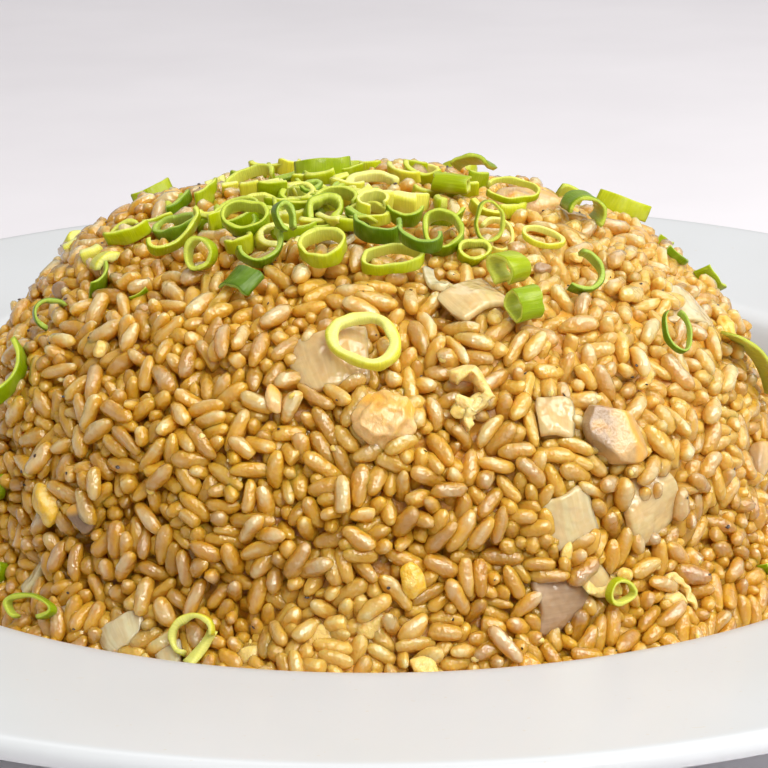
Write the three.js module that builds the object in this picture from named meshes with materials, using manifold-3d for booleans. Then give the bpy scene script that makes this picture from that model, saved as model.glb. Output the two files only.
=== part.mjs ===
// A dome of fried rice, turned out of a round bowl onto a white wide-rimmed plate and strewn with
// cut spring onion, with slices of onion, chicken and scrambled egg in the rice.
// Millimetres, +Z up. The origin is the middle of the plate's foot, on the table, and -Y is the front.
import * as THREE from "three";
import { mergeVertices } from "three/addons/utils/BufferGeometryUtils.js";
import Module from "manifold-3d";

const wasm = await Module();
wasm.setup();

// Plate
const plateRadius = 150;
const plateHeight = 34.6; // top of the rolled lip
const wellRadius = 106; // inner edge of the rim, where the well begins
const rimHeight = 28; // of that edge
const floorHeight = 8; // top of the well's floor
const floorRadius = 88;
const footOuter = 66;
const footInner = 61;
const footDepth = 3.2;
const plateSegments = 64;

// Heap of rice
const heapCentreX = -2;
const heapTop = 72.2; // height of the top above the table
const heapRadius = 76.5; // of the bowl that shaped it
const heapFullness = 2.7; // 2 is an ellipse, more is squarer
const heapFlare = 7.5; // how far loose rice stands out round its foot
const heapFlareHeight = 8; // how far up that begins
const heapDetail = 34; // divisions of each quarter turn
const grainBump = 1.5; // how far single grains stand out
const mound = 1.4; // how far broad lumps stand out
const mounds = 16;

// Grains
const grainLength = 7;
const grainWidth = 2.9;
const looseGrains = 18; // round the foot
const looseReach = 112; // how far from the top, along the surface, the first of them lie
const gap = 0.3; // air left between touching pieces
const highestLift = 14;
const liftStep = 0.4;
const leafWall = 0.8;
const heapFoot = floorHeight + gap;

const deg = THREE.MathUtils.degToRad;
const up = new THREE.Vector3(0, 0, 1);

// A repeatable random number from 0 to 1.
function makeRandom(seed) {
  let state = seed;
  return () => {
    state = (state * 16807) % 2147483647;
    return state / 2147483647;
  };
}

// ---------- solids ----------

function toSolid(geometry) {
  const bare = new THREE.BufferGeometry();
  const loose = geometry.index ? geometry.toNonIndexed() : geometry;
  bare.setAttribute("position", loose.getAttribute("position"));
  const merged = mergeVertices(bare, 1e-4);
  return new wasm.Manifold(
    new wasm.Mesh({
      numProp: 3,
      vertProperties: merged.getAttribute("position").array,
      triVerts: new Uint32Array(merged.index.array),
    }),
  );
}

function toGeometry(solid) {
  const mesh = solid.getMesh();
  const geometry = new THREE.BufferGeometry();
  geometry.setAttribute("position", new THREE.BufferAttribute(mesh.vertProperties, 3));
  geometry.setIndex(new THREE.BufferAttribute(mesh.triVerts, 1));
  return geometry.toNonIndexed();
}

function largestBody(solid) {
  return solid.decompose().reduce((best, body) => (body.volume() > best.volume() ? body : best));
}

// ---------- plate ----------

function makePlate() {
  const profile = [
    [0, footDepth],
    [footInner - 1, footDepth],
    [footInner, 0],
    [footOuter, 0],
    [footOuter + 2.5, footDepth + 0.4],
    [94, 6.6],
    [103, 15.5],
    [110, 23],
    [138, 27],
    [plateRadius - 2, 30.6],
    [plateRadius, 32.6],
    [plateRadius - 1.2, plateHeight],
    [plateRadius - 5, plateHeight - 0.6],
    [wellRadius + 8, rimHeight + 1],
    [wellRadius + 1.6, rimHeight],
    [wellRadius - 2, rimHeight - 3],
    [99.5, 15.5],
    [94.5, 10.4],
    [floorRadius, floorHeight + 0.2],
    [0, floorHeight],
  ];
  const lathe = new THREE.LatheGeometry(
    profile.map(([radius, height]) => new THREE.Vector2(radius, height)),
    plateSegments,
  );
  lathe.rotateX(Math.PI / 2);
  return toSolid(lathe);
}

// ---------- the dome and places on it ----------

// The heap's outline from its top to its foot, as radius and height: a squarish quarter ellipse
// that runs out into loose rice.
class HeapOutline extends THREE.Curve {
  getPoint(t) {
    const angle = t * (Math.PI / 2);
    const power = 2 / heapFullness;
    const rise = (heapTop - heapFoot) * Math.max(Math.cos(angle), 0) ** power;
    const flare = heapFlare * Math.exp(-((rise / heapFlareHeight) ** 2));
    return new THREE.Vector3(heapRadius * Math.sin(angle) ** power + flare, 0, heapFoot + rise);
  }
}
const outline = new HeapOutline();
outline.arcLengthDivisions = 2000;
const outlineLength = outline.getLength();

// The point of the smooth dome at a bearing (degrees, 0 at +X, -90 at the front) and a reach
// (mm along the surface from the top), with the direction that points out of the rice there.
function placeOnDome(bearing, reach) {
  const share = Math.min(reach / outlineLength, 1);
  const point = outline.getPointAt(share);
  const along = outline.getTangentAt(share);
  const outward = new THREE.Vector3(-along.z, 0, along.x);
  const turn = new THREE.Matrix4().makeRotationZ(deg(bearing));
  point.applyMatrix4(turn).add(new THREE.Vector3(heapCentreX, 0, 0));
  return { point, outward: outward.applyMatrix4(turn) };
}

// ---------- heap of rice ----------

// Broad lumps of the heap, and extra rice heaped against its foot at the front.
function makeMounds(random) {
  const list = Array.from({ length: mounds }, () => ({
    bearing: random() * 360 - 180,
    reach: 25 + random() * 80,
    width: 12 + random() * 8,
    height: mound * (random() * 2 - 0.8),
  }));
  list.push({ bearing: -97, reach: 116, width: 12, height: 5 });
  list.push({ bearing: -128, reach: 117, width: 11, height: 4 });
  return list.map((one) => ({ ...one, centre: placeOnDome(one.bearing, one.reach).point }));
}

function makeHeap(random) {
  const lumps = makeMounds(random);
  const ball = new THREE.OctahedronGeometry(1, heapDetail);
  ball.deleteAttribute("normal");
  ball.deleteAttribute("uv");
  const shell = mergeVertices(ball, 1e-4);
  const unit = shell.getAttribute("position");
  const direction = new THREE.Vector3();
  const placed = [];
  for (let i = 0; i < unit.count; i += 1) {
    direction.fromBufferAttribute(unit, i);
    const share = Math.acos(THREE.MathUtils.clamp(direction.z, -1, 1)) / (Math.PI / 2);
    const bearing = THREE.MathUtils.radToDeg(Math.atan2(direction.y, direction.x));
    const { point, outward } = placeOnDome(bearing, share * outlineLength);
    if (share < 0.999) {
      let rise = grainBump * (random() * 2 - 1);
      for (const lump of lumps) {
        rise += lump.height * Math.exp(-((point.distanceTo(lump.centre) / lump.width) ** 2));
      }
      point.addScaledVector(outward, rise);
      point.z = Math.max(point.z, heapFoot + 0.2);
    }
    placed.push(point);
  }
  return toSolid(upperHalf(shell, unit, placed));
}

// The faces of the ball's upper half at their new places, closed by a flat fan at the foot.
function upperHalf(shell, unit, placed) {
  const corners = [];
  const middle = new THREE.Vector3(heapCentreX, 0, heapFoot);
  const onFoot = (i) => Math.abs(unit.getZ(i)) < 1e-6;
  for (let f = 0; f < shell.index.count; f += 3) {
    const face = [0, 1, 2].map((k) => shell.index.getX(f + k));
    if (face.reduce((sum, i) => sum + unit.getZ(i), 0) <= 0) continue;
    corners.push(...face.map((i) => placed[i]));
    face.forEach((a, k) => {
      const b = face[(k + 1) % 3];
      if (onFoot(a) && onFoot(b)) corners.push(placed[b], placed[a], middle);
    });
  }
  return new THREE.BufferGeometry().setFromPoints(corners);
}

// A few whole grains that lie along the foot of the heap, as many-sided spindles.
function makeLooseGrains(random) {
  const grains = [];
  for (let i = 0; i < looseGrains; i += 1) {
    const bearing = (i + random()) * (360 / looseGrains);
    const { point, outward } = placeOnDome(bearing, looseReach + random() * 4);
    const grain = new THREE.OctahedronGeometry(1, 1);
    grain.scale(grainLength / 2, grainWidth / 2, grainWidth / 2);
    grain.rotateY(deg(random() * 20 - 10));
    grain.rotateZ(deg(bearing + 90 + random() * 70 - 35));
    point.addScaledVector(outward, grainWidth / 4);
    point.z = Math.max(point.z, heapFoot + grainWidth / 2 + gap);
    grain.translate(point.x, point.y, point.z);
    grains.push(toSolid(grain));
  }
  return grains;
}

// ---------- shapes of the toppings ----------

// A band of leaf or onion curled round an axis: a closed ring, an open curl or, with a wide radius
// and a short sweep, a strip or a slice. It bulges towards +Y, and its length lies along Z.
function band({ ring, sweep = 360, long, wall = leafWall }, grow = 0) {
  const [radiusX, radiusY] = ring;
  const middle = Math.PI / 2;
  const outerX = radiusX + grow;
  const outerY = radiusY + grow;
  const innerX = radiusX - wall - grow;
  const innerY = radiusY - wall - grow;
  const shape = new THREE.Shape();
  if (sweep >= 360) {
    shape.absellipse(0, 0, outerX, outerY, 0, 2 * Math.PI, false);
    const hole = new THREE.Path();
    hole.absellipse(0, 0, innerX, innerY, 0, 2 * Math.PI, true);
    shape.holes.push(hole);
  } else {
    const half = deg(sweep / 2) + grow / radiusX;
    shape.absellipse(0, 0, outerX, outerY, middle - half, middle + half, false);
    shape.absellipse(0, 0, innerX, innerY, middle + half, middle - half, true);
  }
  const depth = long + 2 * grow;
  const settings = { depth, bevelEnabled: false, curveSegments: Math.max(2, Math.round(sweep / 60)) };
  const geometry = new THREE.ExtrudeGeometry(shape, settings);
  const inMiddle = sweep < 180 ? (outerY + innerY) / 2 : 0;
  return geometry.translate(0, -inMiddle, -depth / 2);
}

// An uneven lump with rather square sides: a piece of chicken, or a curd of egg.
function lump({ size, seed, square = 1 }, grow = 0) {
  const random = makeRandom(seed);
  const ball = new THREE.IcosahedronGeometry(1, 1);
  ball.deleteAttribute("normal");
  ball.deleteAttribute("uv");
  const geometry = mergeVertices(ball, 1e-4);
  const position = geometry.getAttribute("position");
  const squared = (value) => Math.sign(value) * Math.abs(value) ** square;
  for (let i = 0; i < position.count; i += 1) {
    const stretch = 0.86 + 0.14 * random();
    const [x, y, z] = [position.getX(i), position.getY(i), position.getZ(i)].map(squared);
    position.setXYZ(
      i,
      x * (size[0] / 2 * stretch + grow),
      y * (size[1] / 2 * stretch + grow),
      z * (size[2] / 2 * stretch + grow),
    );
  }
  return geometry;
}

// ---------- toppings ----------

// at: bearing and reach on the dome. ring: outer half widths of the curl. long: mm along its axis.
// tilt: turn about its own axis, lean of the axis from outward towards the front, spin about outward.
const springOnions = [
  { at: [143, 54], ring: [5.2, 4], sweep: 110, long: 3.2, tilt: [175, 5, 18] },
  { at: [-162, 45], ring: [5, 4], sweep: 110, long: 3, tilt: [180, 15, 12] },
  { at: [-147, 40], ring: [5.6, 3], sweep: 210, long: 2.8, tilt: [190, 40, 22] },
  { at: [-131, 43], ring: [2.9, 2.8], long: 3.3, tilt: [0, 58, -12] },
  { at: [-120, 37], ring: [4.4, 3.2], sweep: 240, long: 2.4, tilt: [190, 32, 20] },
  { at: [-114, 34], ring: [1.9, 3], sweep: 300, long: 2.8, tilt: [0, 62, 28] },
  { at: [-133, 31], ring: [4.1, 3.3], long: 2.6, tilt: [0, 30, 8] },
  { at: [158, 24], ring: [5, 3.2], sweep: 220, long: 2.4, tilt: [10, 15, -6] },
  { at: [128, 14], ring: [7, 5], sweep: 105, long: 3.6, tilt: [178, -12, 8] },
  { at: [-102, 37], ring: [4.4, 3.6], long: 3, tilt: [0, 14, -8] },
  { at: [-84, 38], ring: [5.7, 3.6], long: 2.3, tilt: [0, 2, 3] },
  { at: [-118, 46], ring: [3.6, 2.4], sweep: 150, long: 5, tilt: [0, 95, -38] },
  { at: [-158, 51], ring: [3.2, 3], sweep: 120, wall: 1.6, long: 4.4, tilt: [0, 80, 30] },
  { at: [160, 64], ring: [3.4, 3], sweep: 120, wall: 1.6, long: 4.8, tilt: [0, 80, 60] },
  { at: [-156, 64], ring: [3.2, 3], sweep: 230, long: 1.8, tilt: [0, 70, 35] },
  { at: [-152, 75], ring: [9, 8], sweep: 90, long: 3.6, tilt: [170, 35, 70] },
  { at: [-91, 58], ring: [5.3, 5], wall: 1, long: 1.6, tilt: [0, 0, 0] },
  { at: [-87, 28], ring: [4.2, 3.2], sweep: 200, long: 3.4, tilt: [180, 8, -8] },
  { at: [-77, 37], ring: [3.8, 3], sweep: 200, long: 2.8, tilt: [190, 22, -24] },
  { at: [-88, 17], ring: [3, 2.6], sweep: 290, long: 3.4, tilt: [20, 25, 10] },
  { at: [-58, 13], ring: [6.5, 5], sweep: 80, wall: 1.2, long: 3.4, tilt: [178, 4, 14] },
  { at: [-112, 15], ring: [3.8, 3], sweep: 230, long: 3.2, tilt: [5, 28, -10] },
  { at: [-65, 30], ring: [3.8, 3.8], long: 3.6, tilt: [0, 36, -8] },
  { at: [-52, 33], ring: [2.5, 3.9], wall: 0.5, long: 1.5, tilt: [12, 68, 14] },
  { at: [-10, 26], ring: [3.2, 4.8], sweep: 320, wall: 0.5, long: 1.5, tilt: [-90, 24, 2] },
  { at: [36, 24], ring: [4.2, 4], sweep: 120, long: 6.2, tilt: [10, 70, -24] },
  { at: [-10, 15], ring: [2, 2], wall: 0.9, long: 6.4, tilt: [0, 90, 78] },
  { at: [-37, 38], ring: [4, 3.2], wall: 0.7, long: 1.2, tilt: [0, 4, 6] },
  { at: [-10, 39], ring: [3.4, 3.6], sweep: 210, long: 6, tilt: [-10, 84, 12] },
  { at: [18, 51], ring: [12, 12], sweep: 50, long: 3.6, tilt: [180, -6, 0] },
  { at: [-60, 46], ring: [2.7, 3], sweep: 300, long: 4, tilt: [30, 84, -48] },
  { at: [-62, 54], ring: [2.3, 2.5], wall: 0.6, long: 4.4, tilt: [0, 88, -56] },
  { at: [-44, 50], ring: [3.9, 3.7], sweep: 230, long: 2.5, tilt: [-95, 34, 0] },
  { at: [-34, 66], ring: [3.3, 3.6], sweep: 310, wall: 0.5, long: 1.2, tilt: [-145, 12, 0] },
  { at: [-16, 79], ring: [20, 20], sweep: 48, long: 4, tilt: [0, 68, 0] },
  { at: [-59, 103], ring: [2.6, 2.4], wall: 0.6, long: 2, tilt: [0, 8, 0] },
  { at: [-111, 108], ring: [3.8, 3.8], sweep: 240, wall: 1, long: 1.6, tilt: [20, 5, 0] },
  { at: [-133, 111], ring: [5.4, 2.3], sweep: 300, long: 1.8, tilt: [0, 15, -30] },
  { at: [62, 70], ring: [4.2, 3.4], long: 2.8, tilt: [0, -16, 30] },
  { at: [98, 66], ring: [4.6, 3.4], sweep: 220, long: 2.6, tilt: [160, -28, 40] },
  { at: [125, 72], ring: [3.2, 3], long: 3.6, tilt: [0, -40, 10] },
  { at: [80, 84], ring: [8, 7], sweep: 80, long: 3.4, tilt: [0, 92, 60] },
];

const onions = [
  { at: [-97, 59], ring: [16, 16], sweep: 48, wall: 1.7, long: 10.5, tilt: [0, 90, 8] },
  { at: [-63, 73], ring: [9, 9], sweep: 44, wall: 1.6, long: 7, tilt: [0, 84, 12] },
  { at: [-51, 91], ring: [12, 12], sweep: 58, wall: 1.8, long: 12, tilt: [0, 88, -42] },
  { at: [-64, 90], ring: [10, 10], sweep: 50, wall: 1.7, long: 9, tilt: [0, 90, 34] },
  { at: [-66, 103], ring: [9, 9], sweep: 70, wall: 1.6, long: 9, tilt: [0, 86, -70] },
  { at: [-68, 47], ring: [11, 10], sweep: 60, wall: 1.5, long: 8, tilt: [0, 84, 36] },
  { at: [-19, 64], ring: [10, 8], sweep: 90, wall: 1.5, long: 8.5, tilt: [0, 90, 40] },
  { at: [112, 92], ring: [12, 12], sweep: 56, wall: 1.7, long: 10, tilt: [0, 88, 24] },
];

const chicken = [
  { at: [-55, 78], size: [13, 10.5, 6.5], seed: 11, square: 0.75, tilt: [0, 0, -14] },
  { at: [-1, 29], size: [12, 8, 5], seed: 23, square: 0.8, tilt: [0, 0, 10] },
  { at: [-88, 71], size: [10, 10, 6], seed: 31, square: 0.9, tilt: [0, 0, 20] },
  { at: [84, 98], size: [12, 9, 6], seed: 47, square: 0.8, tilt: [0, 0, 35] },
];

const eggs = [
  { at: [-137, 93], size: [5, 8, 4], seed: 61, tilt: [0, 0, 8] },
  { at: [-75, 67], size: [5.4, 10.6, 4], seed: 73, tilt: [0, 0, 6] },
  { at: [-14, 72], size: [4, 6.4, 3.4], seed: 89, tilt: [0, 0, 24] },
  { at: [138, 88], size: [7, 5, 4], seed: 97, tilt: [0, 0, 30] },
];

// Moves a shape from its own frame to its place on the dome, lifted along the outward direction.
function placed(geometry, { at, tilt }, lift) {
  const [turn, lean, spin] = tilt.map(deg);
  const { point, outward } = placeOnDome(...at);
  point.addScaledVector(outward, lift);
  const settle = new THREE.Quaternion().setFromUnitVectors(up, outward);
  geometry.rotateZ(turn).rotateX(lean).rotateZ(spin);
  return geometry.applyQuaternion(settle).translate(point.x, point.y, point.z);
}

function solidsOf(make, pieces, lift) {
  return pieces.map((piece) => ({
    solid: toSolid(placed(make(piece), piece, lift)),
    hollow: toSolid(placed(make(piece, gap), piece, lift)),
  }));
}

// Pieces that lie loose on the food come to rest clear of it and of each other.
function strew(make, pieces, obstacles) {
  const lying = [...obstacles];
  return pieces.map((piece) => {
    for (let lift = -1; lift < highestLift; lift += liftStep) {
      const solid = toSolid(placed(make(piece), piece, lift));
      if (lying.every((other) => solid.minGap(other, 2 * gap) >= gap)) {
        lying.push(solid);
        return solid;
      }
    }
    throw new Error(`no free place at bearing ${piece.at[0]}, reach ${piece.at[1]}`);
  });
}

// ---------- the whole dish ----------

const finishes = {
  plate: { color: 0xf4f3f1, roughness: 0.12, metalness: 0 },
  rice: { color: 0xcda46c, roughness: 0.38, metalness: 0 },
  leaf: { color: 0x8cb52a, roughness: 0.35, metalness: 0 },
  onion: { color: 0xdcc694, roughness: 0.25, metalness: 0 },
  chicken: { color: 0xd29a58, roughness: 0.45, metalness: 0 },
  egg: { color: 0xe9c04e, roughness: 0.4, metalness: 0 },
};

const dish = new THREE.Group();

function addPiece(name, solid, finish) {
  const mesh = new THREE.Mesh(toGeometry(solid), new THREE.MeshStandardMaterial(finishes[finish]));
  mesh.geometry.computeVertexNormals();
  mesh.name = name;
  dish.add(mesh);
}

function addPieces(name, solids, finish) {
  solids.forEach((solid, i) => addPiece(`${name}_${String(i + 1).padStart(2, "0")}`, solid, finish));
}

const random = makeRandom(2024);
const plate = makePlate();
const onionSolids = solidsOf(band, onions, 0.4);
const chickenSolids = solidsOf(lump, chicken, 0.6);
const eggSolids = solidsOf(lump, eggs, 0.4);
const mixedIn = [...onionSolids, ...chickenSolids, ...eggSolids];

let heap = makeHeap(random);
for (const grain of makeLooseGrains(random)) heap = heap.add(grain);
for (const { hollow } of mixedIn) heap = heap.subtract(hollow);
heap = largestBody(heap);

const leafSolids = strew(band, springOnions, [plate, heap, ...mixedIn.map(({ solid }) => solid)]);

addPiece("plate", plate, "plate");
addPiece("rice_heap", heap, "rice");
addPieces("spring_onion", leafSolids, "leaf");
addPieces("onion", onionSolids.map(({ solid }) => solid), "onion");
addPieces("chicken", chickenSolids.map(({ solid }) => solid), "chicken");
addPieces("egg", eggSolids.map(({ solid }) => solid), "egg");

export default dish;
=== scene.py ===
import math
from itertools import product

import bpy
import numpy as np
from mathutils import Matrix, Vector
from mathutils.kdtree import KDTree


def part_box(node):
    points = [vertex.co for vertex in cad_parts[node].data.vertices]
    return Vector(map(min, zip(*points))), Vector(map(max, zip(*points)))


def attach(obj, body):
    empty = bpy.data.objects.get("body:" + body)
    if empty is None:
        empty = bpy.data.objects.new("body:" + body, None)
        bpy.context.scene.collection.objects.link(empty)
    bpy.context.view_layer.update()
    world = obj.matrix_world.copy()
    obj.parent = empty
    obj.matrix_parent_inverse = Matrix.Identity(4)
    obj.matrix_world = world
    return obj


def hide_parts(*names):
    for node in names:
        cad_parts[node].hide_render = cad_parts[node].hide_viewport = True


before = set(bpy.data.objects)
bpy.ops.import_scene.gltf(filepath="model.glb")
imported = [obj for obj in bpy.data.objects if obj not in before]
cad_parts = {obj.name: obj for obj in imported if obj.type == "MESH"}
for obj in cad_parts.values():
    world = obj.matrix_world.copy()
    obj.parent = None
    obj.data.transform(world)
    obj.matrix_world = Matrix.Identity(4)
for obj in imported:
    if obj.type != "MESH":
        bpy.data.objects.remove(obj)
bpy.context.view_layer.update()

MM = 0.001
SEED = 5

# ---------- the heap's surface ----------

HEAP_X = -2.0
HEAP_TOP = 72.2
HEAP_FOOT = 8.3
HEAP_RADIUS = 76.5
HEAP_FULLNESS = 2.7
HEAP_FLARE = 7.5
HEAP_FLARE_HEIGHT = 8.0
MOUND = 1.4
MOUNDS = 16
PROFILE_STEPS = 4000
COARSE_STEPS = 480
SLOPE_STEP = 0.3  # how far to each side the slope is read
LOOKUP_CELL, LOOKUP_OUT, LOOKUP_UP = 0.5, 120, 100
FOOT_MOUNDS = [(-97, 116, 12, 5), (-128, 117, 11, 4)]  # in front, where the heap bulges over the well


def heap_profile():
    """Radius, height and length along the surface of points on the heap's outline, from its top."""
    angle = np.linspace(0, math.pi / 2, PROFILE_STEPS)
    power = 2 / HEAP_FULLNESS
    rise = (HEAP_TOP - HEAP_FOOT) * np.maximum(np.cos(angle), 0) ** power
    flare = HEAP_FLARE * np.exp(-((rise / HEAP_FLARE_HEIGHT) ** 2))
    radius = HEAP_RADIUS * np.sin(angle) ** power + flare
    height = HEAP_FOOT + rise
    steps = np.hypot(np.diff(radius), np.diff(height))
    return radius, height, np.concatenate([[0], np.cumsum(steps)])


RADIUS, HEIGHT, RUN = heap_profile()


def dome(bearing, reach):
    """Points of the smooth heap, and the outward directions there."""
    turn = np.radians(bearing)
    reach = np.clip(reach, 0, RUN[-1])
    ahead, behind = np.minimum(reach + SLOPE_STEP, RUN[-1]), np.maximum(reach - SLOPE_STEP, 0)
    out = np.interp(ahead, RUN, RADIUS) - np.interp(behind, RUN, RADIUS)
    down = np.interp(behind, RUN, HEIGHT) - np.interp(ahead, RUN, HEIGHT)
    size = np.hypot(out, down)
    radius = np.interp(reach, RUN, RADIUS)
    height = np.interp(reach, RUN, HEIGHT) + 0 * turn
    point = np.stack([HEAP_X + radius * np.cos(turn), radius * np.sin(turn), height], -1)
    flat = down / size
    outward = np.stack([flat * np.cos(turn), flat * np.sin(turn), out / size + 0 * turn], -1)
    return point, outward


def repeatable(seed):
    """The random numbers from 0 to 1 that shape the solid heap's mounds."""
    state = seed
    while True:
        state = (state * 16807) % 2147483647
        yield state / 2147483647


def make_mounds():
    """Centre, width and height of each broad lump of the heap."""
    draw = repeatable(2024)
    lumps = []
    for _ in range(MOUNDS):
        bearing, reach = next(draw) * 360 - 180, 25 + next(draw) * 80
        width, height = 12 + next(draw) * 8, MOUND * (next(draw) * 2 - 0.8)
        lumps.append((bearing, reach, width, height))
    return [(dome(b, r)[0], width, height) for b, r, width, height in lumps + FOOT_MOUNDS]


MOUND_LIST = make_mounds()


def mounds_at(points):
    """How far the broad lumps lift the surface at these points."""
    rise = np.zeros(len(points))
    for centre, width, height in MOUND_LIST:
        rise += height * np.exp(-((points - centre) ** 2).sum(1) / width**2)
    return rise


def nearest_outline():
    """For every cell out from the axis and up, the nearest step of the heap's outline."""
    reach = np.linspace(0, RUN[-1], COARSE_STEPS)
    edge, normal = dome(np.zeros(COARSE_STEPS), reach)
    edge = edge[:, [0, 2]] - (HEAP_X, 0)
    cells = (np.arange(0, extent, LOOKUP_CELL) for extent in (LOOKUP_OUT, LOOKUP_UP))
    out, up = np.meshgrid(*cells, indexing="ij")
    gaps = (out.ravel()[:, None] - edge[None, :, 0]) ** 2 + (up.ravel()[:, None] - edge[None, :, 1]) ** 2
    return reach, edge, normal[:, [0, 2]], gaps.argmin(1).reshape(out.shape)


OUTLINE_REACH, OUTLINE_EDGE, OUTLINE_NORMAL, NEAREST = nearest_outline()


def turn_at(points):
    """Bearings in radians."""
    return np.arctan2(points[..., 1], points[..., 0] - HEAP_X)


def over_heap(points):
    """Height of points over the lumpy heap, the outward directions there, and their reach."""
    away = np.hypot(points[:, 0] - HEAP_X, points[:, 1])
    place = np.stack([away, points[:, 2]], 1)
    cell = np.clip(np.rint(place / LOOKUP_CELL).astype(int), 0, np.array(NEAREST.shape) - 1)
    nearest = NEAREST[cell[:, 0], cell[:, 1]]
    normal = OUTLINE_NORMAL[nearest]
    height = ((place - OUTLINE_EDGE[nearest]) * normal).sum(1) - mounds_at(points)
    along = np.stack([points[:, 0] - HEAP_X, points[:, 1]], 1) / np.maximum(away, 1e-6)[:, None]
    outward = np.concatenate([along * normal[:, :1], normal[:, 1:]], 1)
    return height, outward, OUTLINE_REACH[nearest]


# ---------- meshes and materials ----------


def make_mesh(name, points, quads, triangles=(), values=None):
    """A mesh object from points in mm, its faces, and named values at its points."""
    quads = np.asarray(quads, np.int32).reshape(-1, 4)
    triangles = np.asarray(triangles, np.int32).reshape(-1, 3)
    mesh = bpy.data.meshes.new(name)
    mesh.vertices.add(len(points))
    mesh.vertices.foreach_set("co", (np.asarray(points, float) * MM).astype(np.float32).ravel())
    corners = np.concatenate([quads.ravel(), triangles.ravel()])
    counts = np.concatenate([np.full(len(quads), 4), np.full(len(triangles), 3)])
    mesh.loops.add(len(corners))
    mesh.loops.foreach_set("vertex_index", corners)
    mesh.polygons.add(len(counts))
    mesh.polygons.foreach_set("loop_start", np.concatenate([[0], np.cumsum(counts)[:-1]]).astype(np.int32))
    mesh.polygons.foreach_set("loop_total", counts.astype(np.int32))
    mesh.polygons.foreach_set("use_smooth", np.ones(len(counts), bool))
    for key, value in (values or {}).items():
        layer = mesh.attributes.new(key, "FLOAT_VECTOR", "POINT")
        layer.data.foreach_set("vector", np.asarray(value, np.float32).ravel())
    mesh.update(calc_edges=True)
    mesh.validate()
    piece = bpy.data.objects.new(name, mesh)
    bpy.context.scene.collection.objects.link(piece)
    return piece


def ring_faces(rows, sides, ends=None, start=0, inward=False):
    """Faces of rings of points that follow each other from the index start, closed by a point at each
    end."""
    index = start + np.arange(rows * sides).reshape(rows, sides)
    step = np.roll(index, -1, 1)
    first, last = ends or (rows * sides, rows * sides + 1)
    quads = np.stack([index[:-1], index[1:], step[1:], step[:-1]], -1).reshape(-1, 4)
    opening = np.stack([np.full(sides, first), index[0], step[0]], 1)
    closing = np.stack([np.full(sides, last), step[-1], index[-1]], 1)
    triangles = np.concatenate([opening, closing])
    return (quads[:, [0, 3, 2, 1]], triangles[:, [0, 2, 1]]) if inward else (quads, triangles)


def join_parts(parts):
    """Joins (points, quads, triangles, values) parts into one."""
    points, quads, triangles, values, start = [], [], [], {}, 0
    for part_points, part_quads, part_triangles, part_values in parts:
        points.append(part_points)
        quads.append(np.asarray(part_quads, int).reshape(-1, 4) + start)
        triangles.append(np.asarray(part_triangles, int).reshape(-1, 3) + start)
        for key, value in part_values.items():
            values.setdefault(key, []).append(value)
        start += len(part_points)
    joined = {key: np.concatenate(value) for key, value in values.items()}
    return np.concatenate(points), np.concatenate(quads), np.concatenate(triangles), joined


def add_piece(piece, material, nodes=()):
    piece.data.materials.append(material)
    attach(piece, "root")
    if nodes:
        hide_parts(*nodes)


MIX_SOCKETS = (0, 6, 7)  # factor and the two colours of a Mix node
MIX_COLOUR = 2


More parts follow.
